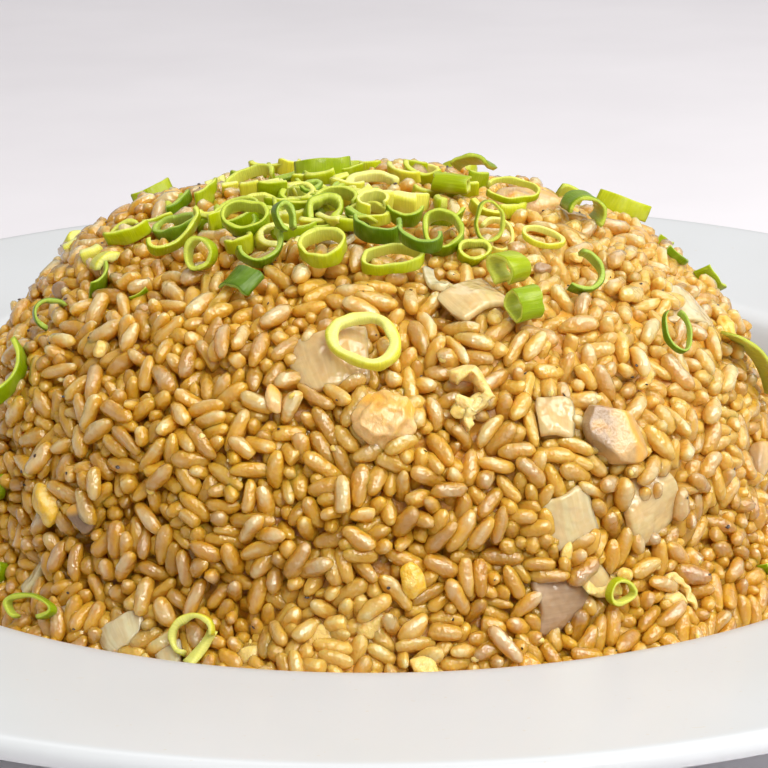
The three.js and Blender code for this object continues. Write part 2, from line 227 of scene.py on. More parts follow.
class Paint:
    """A Principled material with short calls for the nodes that feed it."""

    def __init__(self, name, **sockets):
        self.material = bpy.data.materials.new(name)
        self.material.use_nodes = True
        self.tree = self.material.node_tree
        self.shader = self.tree.nodes["Principled BSDF"]
        for key, value in sockets.items():
            self.shader.inputs[key.replace("_", " ")].default_value = value

    def feed(self, socket, value):
        if isinstance(value, bpy.types.NodeSocket):
            self.tree.links.new(value, socket)
        else:
            socket.default_value = value

    def node(self, kind, *values, **settings):
        made = self.tree.nodes.new("ShaderNode" + kind)
        for key, value in settings.items():
            setattr(made, key, value)
        for socket, value in zip(made.inputs, values):
            if value is not None:
                self.feed(socket, value)
        return made

    def values(self, name):
        """The three numbers that the mesh holds under this name."""
        vector = self.node("Attribute", attribute_name=name).outputs["Vector"]
        return self.node("SeparateXYZ", vector).outputs

    def height(self):
        """Height in mm."""
        return self.node("SeparateXYZ", self.place()).outputs["Z"]

    def place(self, stretch=(1, 1, 1)):
        """Object coordinates in mm, stretched."""
        bare = self.node("TexCoord").outputs["Object"]
        stretch = [factor / MM for factor in stretch]
        return self.node("VectorMath", bare, stretch, operation="MULTIPLY").outputs["Vector"]

    def noise(self, size, vector=None, detail=3.0, rough=0.55):
        """Noise from 0 to 1 with features about size mm across."""
        made = self.node("TexNoise", noise_dimensions="3D")
        self.feed(made.inputs["Vector"], vector or self.place())
        made.inputs["Scale"].default_value = 1 / size
        made.inputs["Detail"].default_value = detail
        made.inputs["Roughness"].default_value = rough
        return made.outputs["Fac"]

    def stripes(self, across, along, lot, fine, drawn_out, detail):
        """Noise drawn out along a topping, of its own for each lot."""
        across, along = self.math("MULTIPLY", across, fine), self.math("MULTIPLY", along, drawn_out)
        vector = self.node("CombineXYZ", across, along, lot).outputs["Vector"]
        return self.noise(1.0, vector, detail=detail)

    def ramp(self, value, *stops):
        made = self.node("ValToRGB", value)
        band = made.color_ramp
        while len(band.elements) < len(stops):
            band.elements.new(0.5)
        for element, (position, colour) in zip(band.elements, stops):
            element.position = position
            element.color = (*colour, 1) if len(colour) == 3 else colour
        return made.outputs["Color"]

    def step(self, value, low, high):
        """0 below low, 1 above high, smooth between."""
        made = self.node("MapRange", value, low, high, interpolation_type="SMOOTHSTEP")
        return made.outputs["Result"]

    def math(self, kind, one, two=0.0):
        return self.node("Math", one, two, operation=kind).outputs["Value"]

    def mix(self, share, one, two, blend="MIX"):
        made = self.node("Mix", data_type="RGBA", blend_type=blend)
        for socket, value in zip((made.inputs[k] for k in MIX_SOCKETS), (share, one, two)):
            self.feed(socket, (*value, 1) if isinstance(value, tuple) else value)
        return made.outputs[MIX_COLOUR]

    def times(self, one, two):
        return self.mix(1.0, one, two, "MULTIPLY")

    def cover(self, tint, colour, where, strength):
        """The tint, with the colour over it where the value is high."""
        return self.mix(self.math("MULTIPLY", where, strength), tint, colour)

    def bump(self, height, depth, strength=1.0, after=None):
        """Relief of that depth in mm."""
        made = self.node("Bump")
        made.inputs["Strength"].default_value = strength
        made.inputs["Distance"].default_value = depth * MM
        self.feed(made.inputs["Height"], height)
        if after:
            self.feed(made.inputs["Normal"], after)
        return made.outputs["Normal"]

    def set(self, **sockets):
        for key, value in sockets.items():
            if isinstance(value, tuple) and len(value) == 3 and "Color" in key:
                value = (*value, 1)
            self.feed(self.shader.inputs[key.replace("_", " ")], value)
        return self


# ---------- plate ----------

PLATE_RADIUS = 150.0
PLATE_HEIGHT = 34.6
WELL_RADIUS = 106.0
RIM_HEIGHT = 28.0
FLOOR_HEIGHT = 8.0
FLOOR_RADIUS = 88.0
FOOT_OUTER = 66.0
FOOT_INNER = 61.0
FOOT_DEPTH = 3.2
PLATE_SIDES = 200
CORNER_CUTS = 2


def rounded(profile):
    """Cuts the corners of an open outline again and again, so that they come out round."""
    points = np.array(profile, float)
    for _ in range(CORNER_CUTS):
        first, second = points[:-1], points[1:]
        cut = np.stack([first * 0.75 + second * 0.25, first * 0.25 + second * 0.75], 1)
        points = np.concatenate([points[:1], cut.reshape(-1, 2)[1:-1], points[-1:]])
    return points


def lathe(profile, sides):
    """Points and faces of a closed outline turned about +Z, from the axis to the axis."""
    turn = np.linspace(0, 2 * math.pi, sides, endpoint=False)
    ring = np.stack([np.cos(turn), np.sin(turn)], 1)
    body = profile[1:-1]
    points = np.concatenate([ring[None] * body[:, None, :1], np.tile(body[:, None, 1:], (1, sides, 1))], 2)
    ends = [[0, 0, profile[0, 1]], [0, 0, profile[-1, 1]]]
    return np.concatenate([points.reshape(-1, 3), ends]), *ring_faces(len(body), sides, inward=True)


def make_plate():
    profile = [
        (0, FOOT_DEPTH),
        (FOOT_INNER - 1, FOOT_DEPTH),
        (FOOT_INNER, 0),
        (FOOT_OUTER, 0),
        (FOOT_OUTER + 2.5, FOOT_DEPTH + 0.4),
        (94, 6.6),
        (103, 15.5),
        (110, 23),
        (138, 27),
        (PLATE_RADIUS - 2, 30.6),
        (PLATE_RADIUS, 32.6),
        (PLATE_RADIUS - 1.2, PLATE_HEIGHT),
        (PLATE_RADIUS - 5, PLATE_HEIGHT - 0.6),
        (WELL_RADIUS + 8, RIM_HEIGHT + 1),
        (WELL_RADIUS + 1.6, RIM_HEIGHT),
        (WELL_RADIUS - 2, RIM_HEIGHT - 3),
        (99.5, 15.5),
        (94.5, 10.4),
        (FLOOR_RADIUS, FLOOR_HEIGHT + 0.2),
        (0, FLOOR_HEIGHT),
    ]
    points, quads, triangles = lathe(rounded(profile), PLATE_SIDES)
    return make_mesh("plate_glazed", points, quads, triangles)


def glaze():
    paint = Paint("white_glaze", Roughness=0.3, IOR=1.45, Coat_Weight=0.15, Coat_Roughness=0.1)
    cloud = paint.noise(34, detail=2)
    tint = paint.ramp(cloud, (0.3, (0.622, 0.638, 0.646)), (0.7, (0.642, 0.660, 0.674)))
    speck = paint.step(paint.noise(0.9, detail=0), 0.80, 0.86)
    tint = paint.mix(speck, tint, (0.62, 0.61, 0.58))
    peel = paint.bump(paint.noise(6, detail=2), 0.05, 0.5)
    foot_bare = paint.step(paint.height(), 0.35, 0.15)
    tint = paint.mix(foot_bare, tint, (0.62, 0.58, 0.52))
    return paint.set(Base_Color=tint, Normal=peel).material


# ---------- toppings: places and shapes ----------

# Each band of leaf or onion: bearing, reach; outer half widths of the curl; sweep in degrees; length
# along its axis; wall; then turn about its own axis, lean of the axis from outward towards the front,
# and spin about outward. The last number is how green it is, from 0, white stem, to 1, dark leaf.
LEAVES = [
    (143, 54, 5.2, 4, 110, 3.2, 0.8, 175, 5, 18, 0.45),
    (-162, 45, 5, 4, 110, 3, 0.8, 180, 15, 12, 0.42),
    (-147, 40, 5.6, 3, 210, 2.8, 0.8, 190, 40, 22, 0.48),
    (-131, 43, 2.9, 2.8, 360, 3.3, 0.8, 0, 58, -12, 0.5),
    (-120, 37, 4.4, 3.2, 240, 2.4, 0.8, 190, 32, 20, 0.8),
    (-114, 34, 1.9, 3, 300, 2.8, 0.8, 0, 62, 28, 0.85),
    (-133, 31, 4.1, 3.3, 360, 2.6, 0.8, 0, 30, 8, 0.6),
    (158, 24, 5, 3.2, 220, 2.4, 0.8, 10, 15, -6, 0.5),
    (128, 14, 7, 5, 105, 3.6, 0.8, 178, -12, 8, 0.55),
    (-102, 37, 4.4, 3.6, 360, 3, 0.8, 0, 14, -8, 0.4),
    (-84, 38, 5.7, 3.6, 360, 2.3, 0.8, 0, 2, 3, 0.42),
    (-118, 46, 3.6, 2.4, 150, 5, 0.8, 0, 95, -38, 1),
    (-158, 51, 3.2, 3, 120, 4.4, 1.6, 0, 80, 30, 0.12),
    (160, 64, 3.4, 3, 120, 4.8, 1.6, 0, 80, 60, 0.14),
    (-156, 64, 3.2, 3, 230, 1.8, 0.8, 0, 70, 35, 0.85),
    (-152, 75, 9, 8, 90, 3.6, 0.8, 170, 35, 70, 0.6),
    (-91, 58, 5.9, 5.2, 360, 2.2, 1.7, 0, 4, 0, 0.16),
    (-87, 28, 4.2, 3.2, 200, 3.4, 0.8, 180, 8, -8, 0.95),
    (-77, 37, 3.8, 3, 200, 2.8, 0.8, 190, 22, -24, 0.95),
    (-88, 17, 3, 2.6, 290, 3.4, 0.8, 20, 25, 10, 0.2),
    (-58, 13, 6.5, 5, 80, 3.4, 1.2, 178, 4, 14, 0.08),
    (-112, 15, 3.8, 3, 230, 3.2, 0.8, 5, 28, -10, 0.5),
    (-65, 30, 3.8, 3.8, 360, 3.6, 0.8, 0, 36, -8, 0.65),
    (-52, 33, 2.5, 3.9, 360, 1.5, 0.5, 12, 68, 14, 0.55),
    (-10, 26, 3.2, 4.8, 320, 1.5, 0.5, -90, 24, 2, 0.42),
    (36, 24, 4.2, 4, 120, 6.2, 0.8, 10, 70, -24, 0.6),
    (-10, 15, 2, 2, 360, 6.4, 0.9, 0, 90, 78, 0.5),
    (-37, 38, 4, 3.2, 360, 1.2, 0.7, 0, 4, 6, 0.22),
    (-10, 39, 3.4, 3.6, 210, 6, 0.8, -10, 84, 12, 0.68),
    (18, 51, 12, 12, 50, 3.6, 0.8, 180, -6, 0, 0.38),
    (-60, 46, 2.9, 3.1, 300, 4.4, 0.8, 30, 84, -48, 0.5),
    (-62, 54, 2.6, 2.7, 360, 4.6, 0.6, 0, 88, -56, 0.58),
    (-44, 50, 3.9, 3.7, 230, 2.5, 0.8, -95, 34, 0, 0.85),
    (-34, 66, 3.3, 3.6, 310, 1.2, 0.5, -145, 12, 0, 0.9),
    (-16, 79, 20, 20, 50, 5.5, 0.8, 0, 50, 0, 0.5),
    (-59, 103, 2.6, 2.4, 360, 2, 0.6, 0, 8, 0, 0.4),
    (-111, 108, 3.8, 3.8, 240, 1.6, 1, 20, 5, 0, 0.2),
    (-133, 111, 5.4, 2.3, 300, 1.8, 0.8, 0, 15, -30, 0.6),
    (62, 70, 4.2, 3.4, 360, 2.8, 0.8, 0, -16, 30, 0.5),
    (98, 66, 4.6, 3.4, 220, 2.6, 0.8, 160, -28, 40, 0.65),
    (125, 72, 3.2, 3, 360, 3.6, 0.8, 0, -40, 10, 0.45),
    (80, 84, 8, 7, 80, 3.4, 0.8, 0, 92, 60, 0.6),
]

ONIONS = [
    (-97, 59, 16, 16, 48, 10.5, 1.7, 0, 90, 8, 0.3),
    (-63, 73, 9, 9, 44, 7, 1.6, 0, 84, 12, 0.4),
    (-51, 91, 12, 12, 58, 12, 1.8, 0, 88, -42, 0.5),
    (-64, 90, 10, 10, 50, 9, 1.7, 0, 90, 34, 0.8),
    (-66, 103, 9, 9, 70, 9, 1.6, 0, 86, -70, 0.0),
    (-68, 47, 11, 10, 60, 8, 1.5, 0, 84, 36, 0.6),
    (-19, 64, 10, 8, 90, 8.5, 1.5, 0, 90, 40, 1.0),
    (112, 92, 12, 12, 56, 10, 1.7, 0, 88, 24, 0.5),
]

# Smaller cuts in and round the pile, the same with how far the middle stands off the heap at the end.
MORE_LEAVES = [
    (177, 22, 8, 8, 26, 4.2, 1.2, 180, 5, 4, 0.2, 2.2),
    (179, 18, 8, 8, 32, 3.4, 1.2, 180, 25, -20, 0.12, 2),
    (172, 26, 8, 8, 24, 2.8, 1.2, 180, 30, 15, 0.16, 1.5),
    (180, 29, 6, 5, 80, 5, 0.8, 180, 10, 60, 0.5, 2),
    (-163, 14, 3.8, 2.4, 360, 2.2, 1.1, 0, 35, 10, 0.25, 1.6),
    (-144, 17, 14, 14, 38, 2.2, 1, 180, 15, -6, 0.45, 1),
    (-136, 22, 8, 8, 20, 2.8, 1.4, 180, 30, 8, 0.14, 1),
    (-116, 22, 8, 8, 34, 2.4, 1.1, 180, 35, -18, 0.2, 0.8),
    (-143, 28, 3.2, 2.6, 200, 3, 0.8, 200, 40, -25, 0.8, 1),
    (-149, 31, 7, 6, 40, 4.6, 0.7, 180, 10, 50, 0.42, 1.2),
    (-118, 16, 8, 8, 30, 3.6, 0.9, 180, 10, 20, 0.4, 1.6),
    (90, 20, 6, 6, 40, 2.6, 0.9, 180, 10, 10, 0.4, 1.5),
    (84, 2, 5.6, 3.4, 250, 2.4, 1.4, 20, 20, 10, 0.12, 2),
    (-176, 4, 6, 5, 70, 3, 1.2, 150, 20, 0, 0.16, 1.5),
    (-81, 12, 7, 7, 36, 4.6, 2.2, 180, 15, 5, 0.06, 1.8),
    (-64, 14, 9, 9, 34, 3.8, 2, 180, 12, -14, 0.1, 2),
    (-103, 21, 6, 6, 18, 4.2, 1, 180, 8, -4, 0.24, 1.2),
    (13, 11, 4.4, 3.6, 180, 3, 0.9, 200, 30, 30, 0.35, 1.8),
    (52, 15, 5, 4, 120, 2.8, 0.9, 170, 30, -20, 0.42, 1.5),
    (22, 22, 5, 5, 52, 4, 0.8, 170, 10, 20, 0.55, 1.8),
    (6, 17, 6, 5, 60, 3.2, 0.8, 180, 20, -10, 0.38, 1.2),
    (-32, 24, 4.4, 4, 90, 3.2, 0.8, 160, 40, 10, 0.3, 1),
    (-73, 21, 3.6, 3, 150, 3.4, 0.8, 170, 30, 12, 0.7, 1.4),
    (-59, 35, 2.8, 2.6, 360, 2.4, 0.8, 0, 30, 0, 0.45, 0.4),
    (-44, 31, 4, 3.4, 300, 1.4, 0.6, -80, 15, 0, 0.16, 0.2),
    (-173, 45, 2.8, 2.4, 330, 2.4, 0.8, 0, 30, -10, 0.4, 0.8),
    (-166, 52, 7, 7, 34, 4.2, 2.2, 180, 15, 15, 0.08, 0.8),
    (173, 58, 7, 7, 34, 3.6, 2, 180, 15, 35, 0.12, 0.8),
    (167, 35, 8, 5, 70, 1.6, 0.6, 180, 20, 10, 0.8, 0.6),
    (-153, 54, 4, 3, 100, 5, 0.6, 180, 40, 60, 0.75, 0.4),
    (-142, 52, 8, 8, 26, 1, 0.5, 180, 20, 0, 0.6, 0.3),
    (13, 60, 6, 6, 36, 2.2, 0.6, 180, 0, 30, 0.5, 0.6),
    (2, 60, 9, 9, 50, 1.6, 0.6, 180, 10, 35, 0.7, 0.6),
    (5, 69, 5, 4, 100, 3.4, 0.8, 180, 20, 30, 0.55, 0.6),
    (110, 13, 5, 4, 100, 3, 0.8, 180, 15, 20, 0.5, 1.5),
    (63, 11, 5, 4, 140, 3, 1.2, 160, 20, -30, 0.18, 1.5),
    (69, 25, 6, 6, 46, 2.6, 0.8, 180, 10, -10, 0.45, 1.2),
    (-160, 21, 3.4, 3, 260, 2.4, 0.9, 30, 20, 0, 0.3, 0.8),
    (-52, 23, 4, 3.4, 110, 3, 0.8, 190, 30, 20, 0.6, 0.6),
    (-171, 39, 6, 5, 60, 3, 0.8, 170, 20, 30, 0.45, 0.8),
    (-110, 110, 7, 5, 60, 2.0, 1.0, 180, 60, 50, 0.2, 1.0),
    (-149, 95, 3, 3, 120, 2.4, 0.7, 180, 20, 20, 0.6, 0.4),
    (-144, 109, 3, 3, 120, 2.4, 0.7, 180, 20, 20, 0.6, 0.4),
    (-31, 112, 3, 3, 100, 2.4, 0.7, 180, 20, 20, 0.6, 0.4),
    (100, 30, 4.6, 3.8, 360, 2.6, 0.8, 0, -15, 10, 0.45, 0.6),
    (128, 36, 5, 4, 150, 3, 0.8, 190, 20, 30, 0.6, 0.6),
    (66, 44, 4, 3.6, 360, 2.4, 0.8, 0, -25, -20, 0.4, 0.4),
    (84, 50, 7, 6, 60, 3.4, 0.9, 0, 30, 40, 0.3, 0.8),
    (140, 40, 6, 6, 40, 3.4, 2.0, 0, 20, -10, 0.1, 0.8),
    (112, 44, 3.4, 3, 250, 2.8, 0.8, 20, -30, 15, 0.8, 0.4),
    (34, 48, 5, 5, 70, 3.2, 0.8, 0, 30, 20, 0.55, 0.6),
    (72, 30, 5, 4, 110, 2.8, 1.0, 0, 20, 0, 0.2, 0.8),
    (150, 66, 3.6, 3.4, 300, 2.6, 0.8, 0, -20, 30, 0.7, 0.3),
    (28, 84, 3.6, 3, 360, 2.2, 0.7, 0, -20, 10, 0.5, 0.3),
]

MORE_ONIONS = [
    (150, 9, 12, 12, 38, 2.8, 1.3, 180, 20, -10, 1.0, 1.6),
    (-75, 42, 7, 7, 60, 2.4, 1.0, 180, 70, -62, 1.0, 0.5),
    (-137, 106, 8, 8, 50, 3.2, 1.2, 180, 60, 20, 0.9, 0.6),
    (-103, 27, 8, 8, 50, 2.6, 1.0, 180, 60, 12, 0.9, 0.3),
    (-62, 100, 6, 6, 60, 7, 1.2, 0, 88, 70, 0.5, -0.2),
    (-121, 109, 12, 12, 44, 5.0, 1.8, 0, 88, 12, 1.0, 1.6),
    (-114, 111, 8, 8, 34, 3.6, 1.6, 0, 88, 10, 1.0, 1.2),
    (-129, 110, 8, 8, 36, 3.8, 1.6, 0, 88, 20, 0.9, 1.2),
    (150, 88, 9, 9, 50, 7, 1.5, 0, 86, 20, 0.6, 0.2),
    (45, 80, 9, 9, 60, 8, 1.5, 0, 88, -30, 0.7, 0.2),
]

# The flat sides of the first chicken chunk: direction along the heap, up it and out, and how far.
CHUNK_SIDES = (
    (-0.28, -0.10, 0.95, 0.60),
    (0.50, 0.62, 0.60, 0.66),
    (0.72, -0.30, 0.62, 0.84),
    (-0.10, -1.0, 0.10, 0.84),
    (0.80, -0.85, 0.0, 0.88),
    (-0.98, -0.10, 0.10, 0.96),
    (-0.55, 0.85, 0.15, 0.74),
    (0.0, 0.0, -1.0, 0.9),
)

# Lumps: bearing, reach; full sizes; how square; turn, lean, spin; tone, from brown meat to golden crust
# or from pale to yellow egg.
CHICKEN = [
    (-55, 78, 13, 10.5, 6.5, 0.75, 0, 0, -14, 0.35),
    (-1, 29, 12, 8, 5, 0.8, 0, 0, 10, 0.6),
    (-88, 71, 10, 10, 6, 0.9, 0, 0, 20, 0.72),
    (84, 98, 12, 9, 6, 0.8, 0, 0, 35, 0.4),
]
EGGS = [
    (-137, 93, 5, 8, 4, 1, 0, 0, 8, 0.9),
    (-75, 67, 4.2, 9.4, 2.6, 1, 0, 0, 6, 0.1),
    (-14, 72, 4, 6.4, 3.4, 1, 0, 0, 24, 0.7),
    (138, 88, 7, 5, 4, 1, 0, 0, 30, 0.5),
]

# Curled sheets of egg, with the numbers of MORE_LEAVES. The first takes the place of egg_02.
EGG_CURLS = [
    (-75, 66, 3.6, 4.6, 235, 4.4, 1.9, -90, 8, 8, 0.15, 0.0),
    (-76, 70, 3.0, 3.4, 150, 3.6, 1.6, 60, 20, 10, 0.1, 0.2),
    (-61, 103, 4.4, 3.0, 170, 3.4, 1.5, 170, 30, 30, 0.05, 0.0),
    (-48, 106, 4.0, 3.0, 160, 3.0, 1.4, 10, 20, -20, 0.1, 0.2),
]

# More egg and browned meat, with how far the middle stands off the heap before the tone.
MORE_EGG = [
    (-85, 97, 4.2, 5.6, 3.2, 1, 0, 0, 10, -0.2, 1.0),
    (-138, 65, 2.8, 3.2, 2.2, 1, 0, 0, 0, 0.2, 0.3),
    (-57, 101, 3.4, 2.6, 2.2, 1, 0, 0, 20, 0.2, 0.4),
    (-50, 108, 5.0, 3.4, 2.4, 1, 0, 0, 30, 0.2, 0.1),
    (-65, 95, 2.6, 3.6, 2.2, 1, 0, 0, 0, 0.0, 0.3),
    (-96, 106, 6.5, 4.6, 3.4, 1, 0, 0, 0, 0.4, 0.3),
    (-90, 104, 5.0, 4.0, 3.0, 1, 0, 0, 20, 0.3, 0.25),
    (-84, 111, 5.4, 3.6, 3.0, 1, 0, 0, -20, 0.5, 0.35),
    (-104, 110, 5.0, 3.8, 3.0, 1, 0, 0, 15, 0.4, 0.25),
    (-99, 113, 4.4, 3.4, 2.6, 1, 0, 0, 40, 0.8, 0.3),
    (-77, 70, 3.4, 3.0, 2.4, 1, 0, 0, 0, 0.2, 0.4),
    (-34, 44, 2.6, 2.2, 1.8, 1, 0, 0, 0, 0.3, 0.3),
    (20, 66, 4.6, 3.6, 2.6, 1, 0, 0, 0, 0.0, 0.3),
    (120, 64, 4.4, 3.0, 2.6, 1, 0, 0, 0, 0.0, 0.3),
    (170, 92, 5.0, 3.4, 2.8, 1, 0, 0, 0, 0.0, 0.3),
]
BROWNED = [
    (8, 45, 5.0, 4.4, 3.2, 0.9, 0, 0, 0, 0.2, 0.9),
    (175, 37, 7.0, 4.0, 2.6, 0.9, 0, 0, 0, -0.2, 0.2),
    (-164, 60, 3.6, 4.2, 3.0, 0.9, 0, 0, 0, 0.2, 0.1),
    (-47, 44, 3.4, 2.2, 1.8, 0.9, 0, 0, 10, 0.4, 0.15),
    (-22, 94, 5.0, 10.0, 3.6, 0.9, 0, 0, 0, -0.2, 0.5),
    (-130, 93, 5.0, 7.0, 3.2, 0.9, 0, 0, 20, -0.2, 0.05),
    (-104, 68, 2.6, 5.6, 2.4, 0.9, 0, 0, 10, 0.3, 0.7),
    (100, 50, 6.0, 4.6, 3.0, 0.9, 0, 0, 10, 0.0, 0.4),
    (55, 100, 5.0, 4.6, 3.0, 0.9, 0, 0, 40, 0.0, 0.5),
]

PILE_BEARING, PILE_REACH = (-150, 45), (19, 9)  # the pile on top: its middle and its spread
PILE_CUTS = 56
PETAL_SINK = 0.6
STEP_AROUND, STEP_ALONG = 0.75, 1.1  # mm between the points of a band
EDGE_ROUNDING = 0.35  # radius of a band's edges, as a share of its wall
CUT_SLANT = 0.12
CRUMPLE_WAVES = 7
# Points of a lump, and how fine the kinds of lumps are.
LUMP_RINGS, LUMP_SIDES = 28, 44
FINE_LEVEL, LUMP_LEVEL, SMALL_LUMP_LEVEL, CRUMB_LEVEL = 1.6, 1.0, 0.6, 0.2
FACET_REACH = (0.76, 1.0)  # how far out the flat sides lie, as a share of the lump's radius
BROAD_KNOBS, BROAD_KNOB, SMALL_KNOB = 8, 0.3, 0.06


def about(axis, degrees):
    """The turn about X or Z as a 3x3 matrix."""
    c, s = math.cos(math.radians(degrees)), math.sin(math.radians(degrees))
    if axis == "X":
        return np.array([[1, 0, 0], [0, c, -s], [0, s, c]])
    return np.array([[c, -s, 0], [s, c, 0], [0, 0, 1]])


def stance(bearing, reach, turn, lean, spin):
    """The rotation and the place of a piece whose own Z axis stands out from the heap."""
    point, outward = dome(bearing, reach)
    upright = np.array(Vector((0, 0, 1)).rotation_difference(Vector(outward)).to_matrix())
    return upright @ about("Z", spin) @ about("X", lean) @ about("Z", turn), point, outward


def moved_to_node(points, node):
    """Points shifted so that the middle of their box is the middle of the node's."""
    low, high = (np.array(corner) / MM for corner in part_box(node))
    return points + (low + high) / 2 - (points.min(0) + points.max(0)) / 2


def band_section(long, wall, fine):
    """The outline of a band's cut, with rounded edges: depth from the outer face, and place along Z."""
    steps = max(3, int(long / STEP_ALONG * fine))
    soft = min(wall, long) * EDGE_ROUNDING
    along = np.linspace(-long / 2 + soft, long / 2 - soft, steps)
    bend = np.linspace(0, math.pi / 2, 4)
    corner = np.stack([np.sin(bend), 1 - np.cos(bend)], 1) * soft
    outer = np.stack([np.zeros(steps), along], 1)
    over = np.stack([corner[1:, 1], long / 2 - soft + corner[1:, 0]], 1)
    over_back = np.stack([wall - corner[::-1, 1], long / 2 - soft + corner[::-1, 0]], 1)
    inner = np.stack([np.full(steps, wall), along[::-1]], 1)
    under, under_back = over * (1, -1), over_back * (1, -1)
    section = np.concatenate([outer, over, over_back[:-1], inner, under_back[::-1][1:], under[::-1]])
    section = section[np.concatenate([[True], np.abs(np.diff(section, axis=0)).sum(1) > 1e-6])]
    closed = np.abs(section[0] - section[-1]).sum() < 1e-6
    return section[:-1] if closed else section


def band_parts(rng, ring, sweep, long, wall, fine, wobble):
    """A curled band with rounded edges, in its own frame: it bulges to +Y and its length lies on Z.
    The value "skin" holds how far in from the outer face (0 to 1), mm along the curl and mm along Z."""
    full = sweep >= 360
    half = math.radians(min(sweep, 360) / 2)
    around = max(8, int(2 * half * max(ring) / STEP_AROUND * fine))
    u = math.pi / 2 + np.linspace(-half, half, around + (0 if full else 1), endpoint=not full)
    section = band_section(long, wall, fine)
    # the curl is uneven, and the wall's thickness and the length vary along it
    phase = rng.uniform(0, 2 * math.pi, 6)
    swell = np.sin(2.5 * u + phase[0])
    if full:
        swell = np.sin(2 * u + phase[0]) + 0.6 * np.sin(3 * u + phase[1])
    slant = rng.uniform(-CUT_SLANT, CUT_SLANT, 2)
    thick = 1 + 0.16 * np.sin(2 * u + phase[2]) + 0.1 * np.sin(5 * u + phase[3])
    depth = section[None, :, 0] * thick[:, None]
    rx, ry = (half_width * (1 + wobble * swell)[:, None] for half_width in ring)
    x = (rx - depth) * np.cos(u)[:, None]
    y = (ry - depth) * np.sin(u)[:, None]
    stretch = 1 + 0.06 * np.sin(3 * u + phase[4]) + 0.04 * np.sin(7 * u + phase[5])
    z = section[None, :, 1] * stretch[:, None] + slant[0] * x + slant[1] * y
    if sweep < 180:
        y = y - (ring[1] - wall / 2)
    rows, columns = x.shape
    points = np.stack([x, y, z], -1).reshape(-1, 3)
    inwards, curl_run = section[None, :, 0] / wall, (u * max(ring))[:, None]
    skin = np.stack(np.broadcast_arrays(inwards, curl_run, z), -1).reshape(-1, 3)
    quads, triangles = ring_faces(rows, columns)
    if full:
        first = np.arange(columns)
        last = first + (rows - 1) * columns
        seam = np.stack([last, first, np.roll(first, -1), np.roll(last, -1)], 1)
        quads, triangles = np.concatenate([quads, seam]), triangles[:0]
    else:
        points = np.concatenate([points, points.reshape(rows, columns, 3)[[0, -1]].mean(1)])
        skin = np.concatenate([skin, [[0.5, 0, 0], [0.5, 0, 0]]])
    return points, quads, triangles, {"skin": skin}


def lump_parts(rng, size, square, rough, level, facets=14, knobs=26, crisp=10, planes=()):
    """An uneven chunk with flattened sides and knobs, in its own frame. Planes give the directions of
    its flat sides and how far out each lies, and without them they lie at random. The value "skin"
    holds its own place in mm."""
    rings, sides = int(LUMP_RINGS * level), int(LUMP_SIDES * level)
    tilt = np.linspace(0, math.pi, rings + 2)[1:-1, None]
    turn = np.linspace(0, 2 * math.pi, sides, endpoint=False)[None]
    unit = np.broadcast_arrays(np.sin(tilt) * np.cos(turn), np.sin(tilt) * np.sin(turn), np.cos(tilt))
    unit = np.concatenate([np.stack(unit, -1).reshape(-1, 3), [[0, 0, 1], [0, 0, -1]]])
    towards = rng.normal(size=(facets + knobs, 3))
    towards /= np.linalg.norm(towards, axis=1, keepdims=True)
    sides_out, far = towards[:facets], rng.uniform(*FACET_REACH, facets)
    if planes:
        sides_out, far = np.array([p[:3] for p in planes], float), np.array([p[3] for p in planes])
        sides_out = sides_out / np.linalg.norm(sides_out, axis=1, keepdims=True)
    near = np.maximum(unit @ sides_out.T, 0) / far
    flat = ((near**crisp).sum(1) + 0.35) ** (-1 / crisp)
    relief = np.zeros(len(unit))
    for k, knob in enumerate(towards[facets:]):
        width = BROAD_KNOB if k < BROAD_KNOBS else SMALL_KNOB
        relief += rng.uniform(-1, 1) * np.exp(-((unit - knob) ** 2).sum(1) / width)
    grown = np.sign(unit) * np.abs(unit) ** square
    points = grown * np.array(size) / 2 * (flat * (1 + rough * relief))[:, None]
    return points, *ring_faces(rings, sides), {"skin": points.copy()}


def node_name(prefix, k):
    return f"{prefix}_{k + 1:02d}"


def seated(points, row, turns, node=None, lift=0.0):
    """Points of a piece turned and moved to its place on the heap: its node's, or lift above it."""
    rotation, point, outward = stance(*row[:2], *turns)
    points = points @ rotation.T + point
    return moved_to_node(points, node) if node else points + outward * lift


def put_bands(rng, rows, prefix=None, fine=1.0, wobble=0.0, petals=False, crumpled=(0.12, 4.0)):
    """Every band of a list at its place, with its tone as the value "tone". With a prefix the places are
    those of its nodes. Petals are flat, with uneven edges, and lie a little deeper."""
    parts = []
    for k, row in enumerate(rows):
        ring, (sweep, long, wall), tone = row[2:4], row[4:7], row[10]
        points, quads, triangles, values = band_parts(rng, ring, sweep, long, wall, fine, wobble)
        points = crumple(points, rng, *crumpled)
        if petals:
            points = soften_corners(points, long, rng)
        place = {"node": node_name(prefix, k)} if prefix else {"lift": row[11]}
        points = seated(points, row, row[7:10], **place)
        if petals:
            points = points - dome(*row[:2])[1] * PETAL_SINK
        values["tone"] = np.tile([tone, rng.uniform(), k], (len(points), 1))
        parts.append((points, quads, triangles, values))
    return parts


